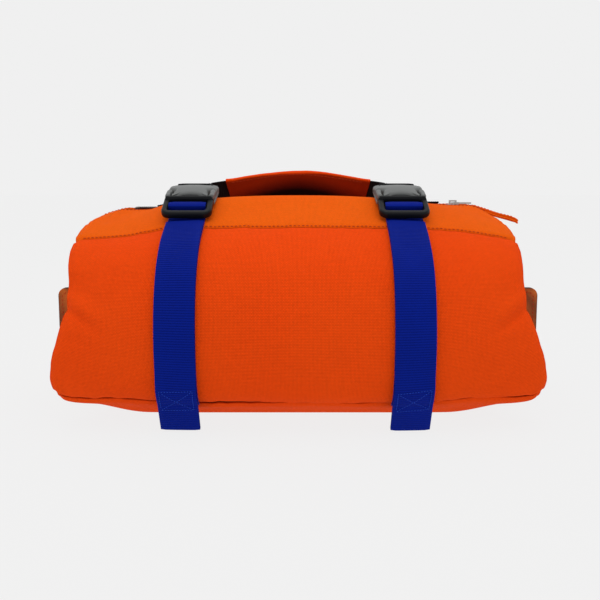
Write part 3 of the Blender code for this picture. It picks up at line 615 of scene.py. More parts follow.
def end_panel(name, side):
    """A lid inside the open end: rings from the rim to the middle, domed, with soft upright folds."""
    inset = 0.0012 + SEAM_GAP + 0.0003
    around, rings = 264, 34
    v = np.arange(around) * (AROUND / around)
    rim = skin(np.full(around, side * 1.0), v)
    smooth = bag_point(side, np.arange(AROUND))
    centre = smooth.mean(axis=0)
    radius = np.linalg.norm((rim - centre)[:, 1:], axis=1)
    t = np.linspace(0.02, 1.0, rings)[:, None, None]
    points = centre + (rim - centre) * (t * (1 - inset / radius)[None, :, None])
    reach = side * BAG_HALF_WIDTH * 0.985
    out = reach + (rim[None, :, 0] - side * inset / 2 - reach) * t[..., 0] ** 2
    fold = ripple(points[..., 1] / 0.022 + 40, points[..., 2] / 0.05, 21 + side) * 0.0012
    fold = fold + ripple(points[..., 1] / 0.007 + 3, points[..., 2] / 0.03, 23) * 0.0004
    calm = soft_step(np.abs(points[..., 1] - (FRONT_Y + BAG_DEPTH / 2)), 0.006, 0.020)
    rim_dip = np.exp(-((1 - t[..., 0]) * radius / 0.0030) ** 2) * 0.0008
    points[..., 0] = out + side * (fold * calm * (1 - t[..., 0] ** 4) - rim_dip)
    points = points[::-1] if side < 0 else points
    cap = np.arange(around) + (0 if side > 0 else (rings - 1) * around)
    cap = cap[None, :] if side < 0 else cap[None, ::-1]
    cloth = np.stack([points[..., 1], points[..., 2]], axis=-1)
    piece = new_piece(name, points, [grid_faces(rings, around, wrap_columns=True), cap], "canvas",
                      nodes=(name,), cloth=cloth)
    thicken(piece, settings("canvas").thickness)
    return piece


# ---- bands, lofts and stitches -----------------------------------------------------------------
def even_rows(points, step):
    """Rows of a band set out again at equal steps along its middle."""
    middle = points[:, points.shape[1] // 2]
    run = lengths(middle)
    count = max(3, int(round(run[-1] / step)) + 1)
    place = np.interp(np.linspace(0.0, run[-1], count), run, np.arange(len(run)))
    first = np.minimum(place.astype(int), len(run) - 2)
    share = (place - first)[:, None, None]
    return points[first] * (1 - share) + points[first + 1] * share, np.linspace(0.0, run[-1], count)


def band(name, points, thickness, finish, rib=0.0, relief_height=0.0, **rides):
    """A woven band round a middle surface: its two faces stand half its thickness off each way, thinner at
    the selvedges, with ribs as rounded waves along its length."""
    step = rib / 4 if rib else 0.0015
    points, run = even_rows(points, step)
    rows, columns = points.shape[:2]
    across, along = np.gradient(points, axis=1), np.gradient(points, axis=0)
    normal = unit(np.cross(across, along))
    width = np.linalg.norm(points[0, -1] - points[0, 0])
    place = np.linspace(-1.0, 1.0, columns)
    edge = (1 - np.abs(place) ** 8 * 0.55)[None, :]
    wave = np.abs(np.sin(run * pi / rib)) ** 0.8 - 0.5 if rib else np.zeros(rows)
    half = (thickness / 2 + wave[:, None] * relief_height) * edge
    upper, lower = points + normal * half[..., None], points - normal * half[..., None]
    ring = np.concatenate([upper, lower[:, ::-1]], axis=1)
    u = np.concatenate([place, place[::-1]]) * width / 2
    cloth = stacked(u[None, :], run[:, None])
    size = 2 * columns
    left = np.arange(columns - 1)
    start = np.stack([left, size - 1 - left, size - 2 - left, left + 1], axis=-1)
    stop = start[:, ::-1] + (rows - 1) * size
    faces = faced_out(ring.reshape(-1, 3), [grid_faces(rows, size, wrap_columns=True), start, stop])
    return new_piece(name, ring, faces, finish, cloth=cloth, **rides)


def webbing_band(name, points, finish, thickness=None, low=1.0, **rides):
    """A band of the ribbed webbing, its ribs lowered by low."""
    webbing = settings("webbing")
    return band(name, points, thickness or webbing.thickness, finish, webbing.rib, webbing.relief * low,
                **rides)


def stitches(name, path, normal, pitch, finish, length=None, radius=0.00028, **rides):
    """A row of thread along a path on a surface: each stitch a short bowed capsule whose ends dip in."""
    length = length or pitch * 0.70
    run = lengths(path)
    middle = (np.arange(int(run[-1] / pitch)) + 0.5) * pitch

    def at(values, place):
        return np.stack([np.interp(place, run, values[:, k]) for k in range(3)], axis=-1)
    share = np.array([-0.5, -0.36, 0.0, 0.36, 0.5])
    size = np.array([0.35, 0.85, 1.0, 0.85, 0.35])
    bow = np.array([-0.9, 0.1, 0.55, 0.1, -0.9])
    place = middle[:, None] + share[None, :] * length
    centre, up = at(path, place), unit(at(normal, place))
    ahead = unit(centre[:, -1] - centre[:, 0])[:, None, :]
    beside = unit(np.cross(up, ahead))
    turn = np.arange(6) * pi / 3
    ring = (beside[:, :, None] * np.cos(turn)[:, None] + up[:, :, None] * np.sin(turn)[:, None])
    middles = centre + up * (bow * radius)[None, :, None]
    points = middles[:, :, None] + ring * (size * radius)[None, :, None, None]
    one = grid_faces(5, 6, wrap_columns=True)
    first = (np.arange(len(middle)) * 30)[:, None, None]
    body = (one[None] + first).reshape(-1, 4)[:, ::-1]
    caps = np.stack([np.arange(6), 24 + np.arange(6)[::-1]])
    caps = (caps[None] + first).reshape(-1, 6)
    faces = faced_out(points.reshape(-1, 3), [body, caps])
    return new_piece(name, points, faces, finish, sharp=80, **rides)


def faced_out(points, faces):
    """The faces of a closed piece, turned over when they enclose a negative volume."""
    volume = 0.0
    for block in faces:
        corner = points[block]
        for k in range(1, block.shape[1] - 1):
            volume += np.einsum("ij,ij->", corner[:, 0], np.cross(corner[:, k], corner[:, k + 1]))
    return faces if volume > 0 else [block[:, ::-1] for block in faces]


def loft(rings, closed=False):
    """Points and faces of a tube through rings of points, capped at both ends unless its path is closed."""
    rows, sides = rings.shape[:2]
    faces = [grid_faces(rows, sides, wrap_rows=closed, wrap_columns=True)]
    if not closed:
        faces.append(np.stack([np.arange(sides)[::-1], np.arange(sides) + (rows - 1) * sides]))
    points = rings.reshape(-1, 3)
    return points, faced_out(points, faces)


def joined(parts):
    """Several lofts as one: their points end to end, their faces sorted by size."""
    points, faces, start = [], {}, 0
    for part_points, part_faces in parts:
        points.append(part_points)
        for block in part_faces:
            faces.setdefault(block.shape[1], []).append(block + start)
        start += len(part_points)
    return np.concatenate(points), [np.concatenate(blocks) for blocks in faces.values()]


def round_box(sides, power):
    """Directions round a rounded box: cosine and sine, each raised to a power with its sign kept."""
    turn = (np.arange(sides) + 0.5) * 2 * pi / sides
    c, s = np.cos(turn), np.sin(turn)
    return np.sign(c) * np.abs(c) ** power, np.sign(s) * np.abs(s) ** power


def plate(outline, low, high, soft):
    """A flat outline in X and Y with height, its upper and lower rims rounded by soft."""
    outline = np.asarray(outline, float)
    ahead = np.roll(outline, -1, axis=0) - np.roll(outline, 1, axis=0)
    inward = unit(np.stack([-ahead[:, 1], ahead[:, 0]], axis=-1))
    turn = np.radians([0, 22, 45, 68, 90])
    inset = soft * (1 - np.sin(turn))
    level = soft * (1 - np.cos(turn))
    inset = np.concatenate([inset, inset[::-1]])
    level = np.concatenate([low + level, (high - level)[::-1]])
    flat = outline[None] + inward[None] * inset[:, None, None]
    points = np.concatenate([flat, np.broadcast_to(level[:, None, None], (*flat.shape[:2], 1))], axis=-1)
    return loft(points)


def arc(centre, radius, first, last, steps=8):
    """Points along an arc, angles in degrees."""
    turn = np.radians(np.linspace(first, last, steps))
    return [(centre[0] + radius * cos(a), centre[1] + radius * sin(a)) for a in turn]


# ---- zip ---------------------------------------------------------------------------------------
ZIP_Y = FRONT_Y + ZIP_DEPTH
CHAIN_END = 0.1195


def zip_tapes():
    for name, side in (("zip_tape_front", -1), ("zip_tape_rear", 1)):
        y = ZIP_Y + side * np.linspace(0.0029, 0.0065, 9)[::side]
        x = np.linspace(-0.122, 0.122, 160)
        points = stacked(x[:, None], y[None, :], ZIP_Z)
        band(name, points, 0.0008, "zip_tape", nodes=(name,))


def zip_coil():
    """Two rows of nylon hooks, one from each tape, set half a pitch apart so that they interlock."""
    pitch, sides = 0.0015, 6
    x = np.arange(-CHAIN_END + 0.0008, CHAIN_END - 0.0006, pitch / 2)
    side = np.where(np.arange(len(x)) % 2 == 0, -1.0, 1.0)
    share = np.linspace(0.0, 1.0, 5)
    reach = 0.00245 - share * 0.0030
    rise = 0.00075 * np.sin(np.clip(share * 1.25, 0, 1) * pi) ** 0.5
    size = np.array([0.00034, 0.00040, 0.00040, 0.00044, 0.00030])
    turn = np.arange(sides) * 2 * pi / sides
    centre = stacked(x[:, None], ZIP_Y + side[:, None] * reach, ZIP_Z + rise)
    ring = np.stack([np.cos(turn), 0 * turn, np.sin(turn)], axis=-1)
    points = centre[:, :, None] + ring[None, None] * size[None, :, None, None]
    one = grid_faces(5, sides, wrap_columns=True)
    first = (np.arange(len(x)) * 5 * sides)[:, None, None]
    body = one[None] + first
    body = np.where(side[:, None, None] > 0, body[:, :, ::-1], body).reshape(-1, 4)
    caps = np.stack([np.arange(sides)[::-1], 4 * sides + np.arange(sides)])[None] + first
    caps = np.where(side[:, None, None] > 0, caps[:, :, ::-1], caps).reshape(-1, sides)
    faces = faced_out(points.reshape(-1, 3), [body, caps])
    new_piece("zip_chain", points, faces, "zip_teeth", nodes=("zip_chain",), sharp=80)


def zip_end_tab():
    """Folded canvas over the end of the zip: two layers with rolled folds, stitched through."""
    start, reach, half = 0.1295, 0.0382, ZIP_CLEAR - 0.0003

    def sway(x):
        return 0.0005 * np.sin(x * 260) * (x / reach)
    parts = []
    for low, high, less in ((0.0, 0.00142, 0.0), (0.00150, 0.0030, 0.0004)):
        side, end = half - less, reach - less
        outline = (arc((end - 0.005, 0.005 - side), 0.005, -90, 0)
                   + arc((end - 0.005, side - 0.005), 0.005, 0, 90)
                   + [(x, side) for x in np.linspace(end - 0.007, 0.0, 14)]
                   + [(x, -side) for x in np.linspace(0.0, end - 0.007, 14)])
        parts.append(plate(outline, low, high, 0.00068))
    points, faces = joined(parts)
    points[:, 2] += sway(points[:, 0]) + 0.0003 * np.sin(points[:, 1] * 700)

    def place(local):
        x, y, z = np.moveaxis(local, -1, 0)
        lean = radians(17)
        return np.stack([start + x * cos(lean) + z * sin(lean), ZIP_Y + y, ZIP_Z - 0.0004 - x * sin(lean)
                         + z * cos(lean)], axis=-1)
    piece = new_piece("zip_end_tab", place(points), faces, "canvas_top", nodes=("zip_end_tab",),
                      cloth=points[:, :2])
    for row, y in (("front", -0.0036), ("rear", 0.0036)):
        x = np.linspace(0.001, reach - 0.004, 60)
        path = stacked(x, y, 0.0031 + sway(x))
        stitches(f"zip_tab_stitch_{row}", place(path), np.tile((0.0, 0.0, 1.0), (60, 1)), 0.0026,
                 "canvas_thread", slot="canvas_top")
    return piece


SIDES = (("left", -1), ("right", 1))


# ---- straps ------------------------------------------------------------------------------------
STRAP_X, STRAP_SHIFT, WEBBING_WIDTH, GAP = 0.0733, -0.0015, 0.025, 0.0003
TAIL_CLEAR = 0.0012          # tail end above the floor
FLAT_RIBS = 0.6              # ribs of webbing that is pulled tight round a bar
BUCKLE_ORIGIN = (0.0740, 0.1422)
BUCKLE_TILT, FRAME_BEND = radians(15), radians(12)


def across_strap(middle, columns=9):
    return middle + np.linspace(-0.5, 0.5, columns) * WEBBING_WIDTH


def follow_frame(piece):
    """Bakes the strap's placement into its mesh; nothing here makes it slide with the frame it is threaded
    through.
    """
    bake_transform(piece)


def load_strap(word, middle):
    thickness = settings("webbing").thickness
    v = np.linspace(0.08, 6.70, 300)[:, None]
    points = over_bag(across_strap(middle)[None, :], v, GAP + thickness / 2)
    piece = webbing_band(f"load_strap_{word}", points, "blue_webbing", body=None,
                         nodes=(f"load_strap_{word}",))
    follow_frame(piece)


def tail_surface(middle, columns=9):
    """Middle surface of a tail: down the bag over the load strap, hanging free, then folded up behind
    itself. Rows down its outer side are set by a number t: 0 to 1 on the bag, 1 to 2 hanging free."""
    thickness = settings("webbing").thickness
    lift = GAP + thickness / 2 + thickness + 2 * GAP
    start, leave, lean, fold, hem = 6.10, 0.50, 0.42, (thickness + GAP) / 2, 0.09
    x = across_strap(middle, columns)[None, :]

    def down(t, height):
        v = np.where(t < 1, start + (leave - start) * np.minimum(t, 1), leave)
        points = over_bag(x, v, height)
        drop = np.clip(t - 1, 0, 1) * (points[..., 2] - TAIL_CLEAR - thickness / 2 - fold)
        return points + stacked(0 * drop, lean * drop, -drop)

    t = np.concatenate([np.linspace(0, 1, 240), np.linspace(1, 2, 40)[1:]])[:, None]
    swell = 1 / (1 + np.exp(-(t - 1 + 1.6 * hem) * 60))
    outer = down(t, lift + 2 * fold * swell)
    turn = np.linspace(0, pi, 10)[1:-1, None]
    bend = outer[-1:] + stacked(0 * x, fold * (1 - np.cos(turn)), -fold * np.sin(turn))
    inner = down(2 - (1 + hem) * np.linspace(0, 1, 60)[:, None], np.full((60, 1), lift))
    return outer, np.concatenate([outer, bend, inner])


def strap_tail(word, middle):
    thickness = settings("webbing").thickness
    outer, whole = tail_surface(middle)
    piece = webbing_band(f"strap_tail_{word}", whole, "blue_webbing", body=None,
                         nodes=(f"strap_tail_{word}",))
    follow_frame(piece)
    rows, run = even_rows(outer, 0.0005)
    across, along = np.gradient(rows, axis=1), np.gradient(rows, axis=0)
    normal = -unit(np.cross(across, along))
    face = rows + normal * (thickness / 2 + 0.0001)
    last = run[-1]

    def on_face(corners):
        """A path on the tail's outer face through corners of (share across, distance from the end)."""
        corners = np.array(corners)
        legs = lengths(corners * (0.0115, 1.0))
        place = np.linspace(0.0, legs[-1], 160)
        share, back = np.interp(place, legs, corners[:, 0]), np.interp(place, legs, corners[:, 1])
        row = np.clip((last - back) / 0.0005, 0, len(rows) - 1.001)
        column = np.clip((share + 1) / 2 * (rows.shape[1] - 1), 0, rows.shape[1] - 1.001)
        low, part = row.astype(int), (row - row.astype(int))[:, None]
        left, side = column.astype(int), (column - column.astype(int))[:, None]
        point = ((face[low, left] * (1 - side) + face[low, left + 1] * side) * (1 - part)
                 + (face[low + 1, left] * (1 - side) + face[low + 1, left + 1] * side) * part)
        return point, normal[low, left]
    box = [(-0.82, 0.0155), (0.80, 0.0165), (0.82, 0.0320), (-0.82, 0.0305), (-0.82, 0.0155)]
    for part, corners in (("box", box), ("cross_a", [box[0], box[2]]), ("cross_b", [box[1], box[3]])):
        stitches(f"strap_stitch_{part}_{word}", *on_face(corners), 0.0018, "webbing_thread", 0.00125,
                 0.00026, slot="blue_webbing")


def buckle_place(local, middle, frame_side=False):
    """From a buckle's own axes (across, up the slope, out) into the bag's, the frame bent further down."""
    x, y, z = np.moveaxis(np.asarray(local, float), -1, 0)
    if frame_side:
        y, z = y * cos(FRAME_BEND) - z * sin(FRAME_BEND), y * sin(FRAME_BEND) + z * cos(FRAME_BEND)
    y, z = y * cos(BUCKLE_TILT) - z * sin(BUCKLE_TILT), y * sin(BUCKLE_TILT) + z * cos(BUCKLE_TILT)
    return np.stack([middle + x, FRONT_Y + BUCKLE_ORIGIN[0] + y, BUCKLE_ORIGIN[1] + z], axis=-1)


FRAME_THICK, BAR, BAR_WIDTH = 0.0052, -0.0088, 0.0028


def strap_loop(word, middle):
    """Webbing round the ladder frame's centre bar: up, over in a half turn, and down again."""
    thickness = settings("webbing").thickness
    gap = GAP + thickness / 2
    low, top, half = 0.0011, FRAME_THICK - 0.0004, BAR_WIDTH / 2 + GAP + thickness / 2
    t = np.linspace(0, 1, 80)[:, None]
    turn = np.clip((t - 0.25) / 0.5, 0, 1) * pi
    rise = np.clip(np.minimum(t, 1 - t) / 0.25, 0.0, 1.0)
    height = low + (top - low) * rise + gap * np.sin(turn)
    x = across_strap(0.0)[None, :]
    local = stacked(x, BAR + half * np.cos(turn), height)
    webbing_band(f"strap_loop_{word}", buckle_place(local, middle, True), "blue_webbing", low=FLAT_RIBS,
                 body=f"buckle_male_{word}", nodes=(f"strap_loop_{word}",))


def anchor_strap(word, middle):
    """Black webbing round the rear bar of the body, sewn down in front of the zip."""
    gap = GAP + 0.0007
    front, rear, top = 0.0306, 0.0350, 0.0046
    path = np.array([(front - gap, 0.0008), (front - gap, top - 0.0008), (front + 0.0002, top + gap),
                     (rear - 0.0012, top + gap - 0.0004), (rear + gap, top - 0.0020), (rear + gap, 0.0),
                     (rear + gap - 0.0004, -0.0020), (rear - 0.0012, -0.0050), (rear - 0.0055, -0.0054)])
    t = np.linspace(0, len(path) - 1, 140)
    smooth = np.stack([np.interp(t, np.arange(len(path)), path[:, k]) for k in range(2)], axis=-1)
    weights = np.ones(9) / 9
    for k in range(2):
        smooth[4:-4, k] = np.convolve(smooth[:, k], weights, "valid")
    x = across_strap(0.0)[None, :]
    local = stacked(x, smooth[:, None, 0], smooth[:, None, 1])
    webbing_band(f"buckle_anchor_{word}", buckle_place(local, middle), "black_webbing", 0.0012, FLAT_RIBS,
                 nodes=(f"buckle_anchor_{word}",))


# ---- buckles -----------------------------------------------------------------------------------
BUCKLE_HALF, FRAME_LENGTH, BODY_LENGTH, BODY_FLOOR, BODY_THICK = 0.0172, 0.0200, 0.0350, 0.0020, 0.0076


def rod(path, across, half_wide, half_tall, power=0.62, sides=28):
    """A rounded-box profile carried along a path: wide along across, tall along Z, sized at each point."""
    c, s = round_box(sides, power)
    wide, tall = np.broadcast_to(half_wide, len(path)), np.broadcast_to(half_tall, len(path))
    up = np.array((0.0, 0.0, 1.0))
    sideways, upright = (wide[:, None] * c)[..., None], (tall[:, None] * s)[..., None]
    return loft(path[:, None] + across[:, None] * sideways + up * upright)


def blunt(count, share=0.12):
    """Sizes along a rod that round off both of its ends as a quarter circle would."""
    t = np.linspace(0.0, 1.0, count)
    near = np.clip(np.minimum(t, 1 - t) / share, 0.0, 1.0)
    return np.maximum(np.sqrt(1 - (1 - near) ** 2), 0.06)


def mirrored(outline):
    """The same points on the other side, walked backwards."""
    return [(-x, y) for x, y in reversed(outline)]


def u_turn(half, open_y, shut_y, radius, z):
    """A path down one side, round two corners and up the other side, with its in-plane normals."""
    sign = np.sign(open_y - shut_y)
    corner = shut_y + sign * radius
    left = [(-half, y) for y in np.linspace(open_y, corner, 10)[:-1]]
    bend = arc((radius - half, corner), radius, 180, 180 + sign * 90, 12)
    flat = [(x, shut_y) for x in np.linspace(radius - half, half - radius, 16)[1:-1]]
    plane = np.array(left + bend + flat + mirrored(bend) + mirrored(left))
    ahead = unit(np.gradient(plane, axis=0))
    path = np.column_stack([plane, np.full(len(plane), z)])
    return path, np.column_stack([ahead[:, 1], -ahead[:, 0], np.zeros(len(plane))])


def straight(start, end, count=24):
    """A straight path between two points, with level normals."""
    path = np.linspace(start, end, count)
    ahead = unit(np.subtract(end, start)[None])[0]
    return path, np.tile((ahead[1], -ahead[0], 0.0), (count, 1))


def domed_plate(outline, low, high, soft, crown, rings=9):
    """An outline with a rounded upper rim and a gently domed top that closes in on its middle."""
    outline = np.asarray(outline, float)
    ahead = np.roll(outline, -1, axis=0) - np.roll(outline, 1, axis=0)
    inward = unit(np.stack([-ahead[:, 1], ahead[:, 0]], axis=-1))
    turn = np.radians([0, 18, 36, 54, 72, 90])
    rim = outline[None] + inward[None] * (soft * (1 - np.cos(turn)))[:, None, None]
    middle = np.array((0.0, outline[:, 1].mean()))
    share = np.linspace(1.0, 0.04, rings)[1:, None, None]
    inner = middle + (rim[-1][None] - middle) * share
    flat = np.concatenate([outline[None], rim, inner])
    rise = np.concatenate([[low - high + soft], soft * np.sin(turn), np.full(rings - 1, soft)]) - soft
    out = np.linalg.norm((flat - middle) / np.abs(outline - middle).max(axis=0), axis=-1)
    level = high + rise[:, None] + crown * (1 - np.clip(out, 0, 1) ** 2) * (rise[:, None] > -soft * 1.01)
    return loft(np.concatenate([flat, level[..., None]], axis=-1))


def buckle_frame(word, middle):
    """Ladder frame: a moulded U with its end bar, the centre bar, the hub and the guiding prong."""
    path, across = u_turn(BUCKLE_HALF - 0.0024, 0.0006, 0.0024 - FRAME_LENGTH, 0.0036, FRAME_THICK / 2)
    parts = [rod(path, across, 0.0022, FRAME_THICK / 2, 0.66)]
    bar_path, bar_across = straight((-0.0146, BAR, 0.0026), (0.0146, BAR, 0.0026))
    parts.append(rod(bar_path, bar_across, BAR_WIDTH / 2, 0.0018, 0.7))
    framed = [(buckle_place(points, middle, True), faces) for points, faces in parts]
    hub_path, hub_across = straight((-0.0168, -0.0014, 0.0038), (0.0168, -0.0014, 0.0038), 30)
    prong_path, prong_across = straight((0.0, -0.0010, 0.0044), (0.0, 0.0184, 0.0044), 30)
    taper = np.interp(np.linspace(0, 1, 30), (0, 0.6, 0.9, 1.0), (0.0074, 0.0066, 0.0050, 0.0030))
    bodied = [rod(hub_path, hub_across, 0.0014, 0.0030 * blunt(30, 0.05), 0.7),
              rod(prong_path, prong_across, taper, 0.0012, 0.4)]
    bodied = [(buckle_place(points, middle), faces) for points, faces in bodied]
    points, faces = joined(framed + bodied)
    return new_piece(f"buckle_frame_{word}", points, faces, "buckle_frame", f"buckle_male_{word}",
                     (f"buckle_frame_{word}",), sharp=50)


def buckle_body(word, middle):
    """Buckle body: floor plate, domed housing with an arched lip, notches and ears, and the rear loop."""
    half, mouth, ear = BUCKLE_HALF + 0.0002, 0.0124, 0.0172
    rear = 0.0278
    edge = arc((half - 0.001, 0.0014), 0.001, -90, 0, 4) + [(half, y) for y in np.linspace(0.003, rear, 14)]
    back = [(x, rear) for x in np.linspace(half - 0.0005, 0.0005 - half, 20)]
    floor = edge + back + mirrored(edge)
    lip = [(x, 0.0010 + 0.0044 * (1 - (x / mouth) ** 2))
           for x in np.linspace(-mouth + 0.0005, mouth - 0.0005, 25)]
    right = ([(mouth + 0.0001, 0.0016)] + [(mouth - 0.0001, y) for y in np.linspace(0.0028, 0.0086, 6)]
             + arc((0.0144, 0.0118), 0.0030, 225, 100, 9)[1:]
             + arc((ear - 0.0016, 0.0166), 0.0016, -80, 0, 5)
             + [(ear, y) for y in np.linspace(0.0182, 0.0228, 5)[1:]]
             + arc((ear - 0.0034, 0.0228), 0.0034, 0, 90, 7)[1:])
    top = [(x, rear) for x in np.linspace(ear - 0.0044, 0.0044 - ear, 18)]
    housing = np.array(lip + right + top + mirrored(right))
    points, faces = domed_plate(housing, BODY_FLOOR - 0.0004, BODY_THICK - 0.0010, 0.0024, 0.0016)
    parts = [plate(floor, 0.0, BODY_FLOOR, 0.0006), (points, faces)]
    path, across = u_turn(half - 0.0024, 0.0240, BODY_LENGTH - 0.0024, 0.0042, 0.0024)
    parts.append(rod(path, across, 0.0024, 0.0022, 0.62))
    for side in (-1, 1):
        lug_path, lug_across = straight((side * 0.0158, 0.0080, 0.0026), (side * 0.0158, 0.0098, 0.0026), 8)
        parts.append(rod(lug_path, lug_across, 0.0012, 0.0009, 0.5, 12))
    points, faces = joined(parts)
    return new_piece(f"buckle_body_{word}", buckle_place(points, middle), faces, "buckle_body",
                     nodes=(f"buckle_body_{word}",), sharp=50)


def buckle_arm(word, middle, role, side):
    """Spring arm beside the housing, from its heel at the hub to a rounded head in the notch."""
    count = 26
    x = side * (BUCKLE_HALF - 0.0023)
    path, across = straight((x, 0.0004, 0.0046), (x, 0.0140, 0.0046), count)
    t = np.linspace(0, 1, count)
    path[:, 0] += side * 0.0004 * np.sin(t * pi)
    swell = np.interp(t, (0, 0.45, 0.8, 1.0), (0.0019, 0.0017, 0.0021, 0.0020))
    points, faces = rod(path, across, swell * blunt(count, 0.14), 0.0025 * blunt(count, 0.10), 0.72)
    return new_piece(f"buckle_arm_{role}_{word}", buckle_place(points, middle), faces, "buckle_body",
                     f"arm_{role}_{word}", (f"buckle_arm_{role}_{word}",), sharp=50)


# ---- carry handle ------------------------------------------------------------------------------
HANDLE_DEPTH, HANDLE_Z, HANDLE_LEAN, HANDLE_RISE = 0.131, 0.1386, radians(52), 0.0277
HANDLE_WIDTH, HANDLE_THICK, HANDLE_SPLIT, SLEEVE_HALF = 0.024, 0.0014, 0.0675, 0.0555
REACH_X = (0.0, 0.018, 0.035, 0.052, 0.068, 0.078, 0.086)
REACH_H = (1.0, 0.930, 0.780, 0.620, 0.500, 0.340, 0.120)


def handle_height(x):
    """Height of the arch: straight stretches between measured places, rounded by a short average."""
    spread = np.linspace(-0.008, 0.008, 17)
    near = np.abs(np.asarray(x)[..., None] + spread)
    return np.interp(near, REACH_X, REACH_H).mean(axis=-1) * HANDLE_RISE


def handle_place(x, y, height):
    """From the leaning handle's own axes into the bag's."""
    x, y, height = np.broadcast_arrays(x, y, height)
    return np.stack([x, FRONT_Y + HANDLE_DEPTH + y * cos(HANDLE_LEAN) + height * sin(HANDLE_LEAN),
                     HANDLE_Z - y * sin(HANDLE_LEAN) + height * cos(HANDLE_LEAN)], axis=-1)


def handle_webbing():
    x = np.linspace(-HANDLE_SPLIT + GAP, HANDLE_SPLIT - GAP, 200)[:, None]
    y = np.linspace(-0.5, 0.5, 9)[None, ::-1] * HANDLE_WIDTH
    webbing_band("handle_webbing", handle_place(x, y, handle_height(x)), "black_webbing", HANDLE_THICK,
                 body="handle", nodes=("handle_webbing",))


def handle_sleeve():
    """Canvas folded round the webbing: a flattened ring carried along the arch, its ends cut on a slant,
    with small gathers, and a line of stitches along each folded edge."""
    half_width, half_thick = 0.0132, 0.0018
    c, s = round_box(56, 0.42)
    t = np.linspace(-1.0, 1.0, 150)[:, None]
    y = (c * half_width)[None, :]
    x = t * (SLEEVE_HALF - 0.0016) - np.sign(t) * np.abs(t) ** 6 * y * 0.16
    swell = 1 + 0.10 * np.exp(-((np.abs(t) - 0.985) / 0.02) ** 2)
    crumple = (ripple(x / 0.010 + 30, c[None, :] * 1.5 + 9, 41) * 0.00035
               + ripple(x / 0.030 + 11, s + 4.0, 43) * 0.0004)
    tall = (s * half_thick)[None, :] * swell + crumple
    rings = handle_place(x, y * (1 + crumple * 60), handle_height(x) + tall)
    shrink = (s * (half_thick - 0.0009))[None, :]
    inner = handle_place(x, y * 0.92, handle_height(x) + shrink)
    both = np.concatenate([rings, inner[::-1]])
    columns = np.concatenate([[0.0], np.cumsum(np.hypot(np.diff(c * half_width), np.diff(s * half_thick)))])
    # Painted shade for the sleeve's underside, strongest towards its rear fold in the middle of the arch. It
    # is handed on as the edge attribute.
    rearward = soft_step(c[None, :] + 0.55 - 0.9 * np.abs(t) ** 1.5, -0.5, 0.9)
    under = soft_step(-s[None, :], -0.2, 0.5) * soft_step(c[None, :], -0.98, -0.86)
    depth = (0.62 + 0.38 * rearward) * under
    cloth = stacked(x, columns[None, :])
    faces = grid_faces(len(both), 56, wrap_rows=True, wrap_columns=True)
    piece = new_piece("handle_sleeve", both, [faces[:, ::-1]], "canvas_sleeve", body="handle",
                      nodes=("handle_sleeve",), cloth=np.concatenate([cloth, cloth[::-1]]), sharp=60,
                      edge=np.concatenate([depth, depth[::-1]]))
    x = np.linspace(-SLEEVE_HALF + 0.004, SLEEVE_HALF - 0.004, 200)
    for face, sign in (("top", 1), ("under", -1)):
        for edge, y in (("front", -0.0112), ("rear", 0.0112)):
            path = handle_place(x, y, handle_height(x) + sign * (half_thick * 0.97 + 0.0003))
            up = np.tile((0.0, sign * sin(HANDLE_LEAN), sign * cos(HANDLE_LEAN)), (200, 1))
            stitches(f"sleeve_stitch_{face}_{edge}", path, up, 0.0028, "canvas_thread", body="handle",
                     slot="canvas_sleeve")
    return piece


def handle_end(name, side):
    """Webbing sewn flat on the rear strip, then rising into the moving arch; it bends between the two."""
    x = side * np.linspace(0.108, HANDLE_SPLIT + GAP, 120)[:, None]
    u = np.linspace(0.0, 1.0, 9)[None, :]
    sewn = skin(x / half_width(10.42 + 1.42 * u), 10.42 + 1.42 * u, GAP + 0.0007, fine=False)
    risen = handle_place(x, (u - 0.5) * HANDLE_WIDTH, handle_height(x))
    lift = soft_step(0.090 - np.abs(x), 0.0, 0.014)[..., None]
    points = sewn * (1 - lift) + risen * lift
    piece = webbing_band(name, points, "black_webbing", HANDLE_THICK, body=None, nodes=(name,))
    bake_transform(piece)


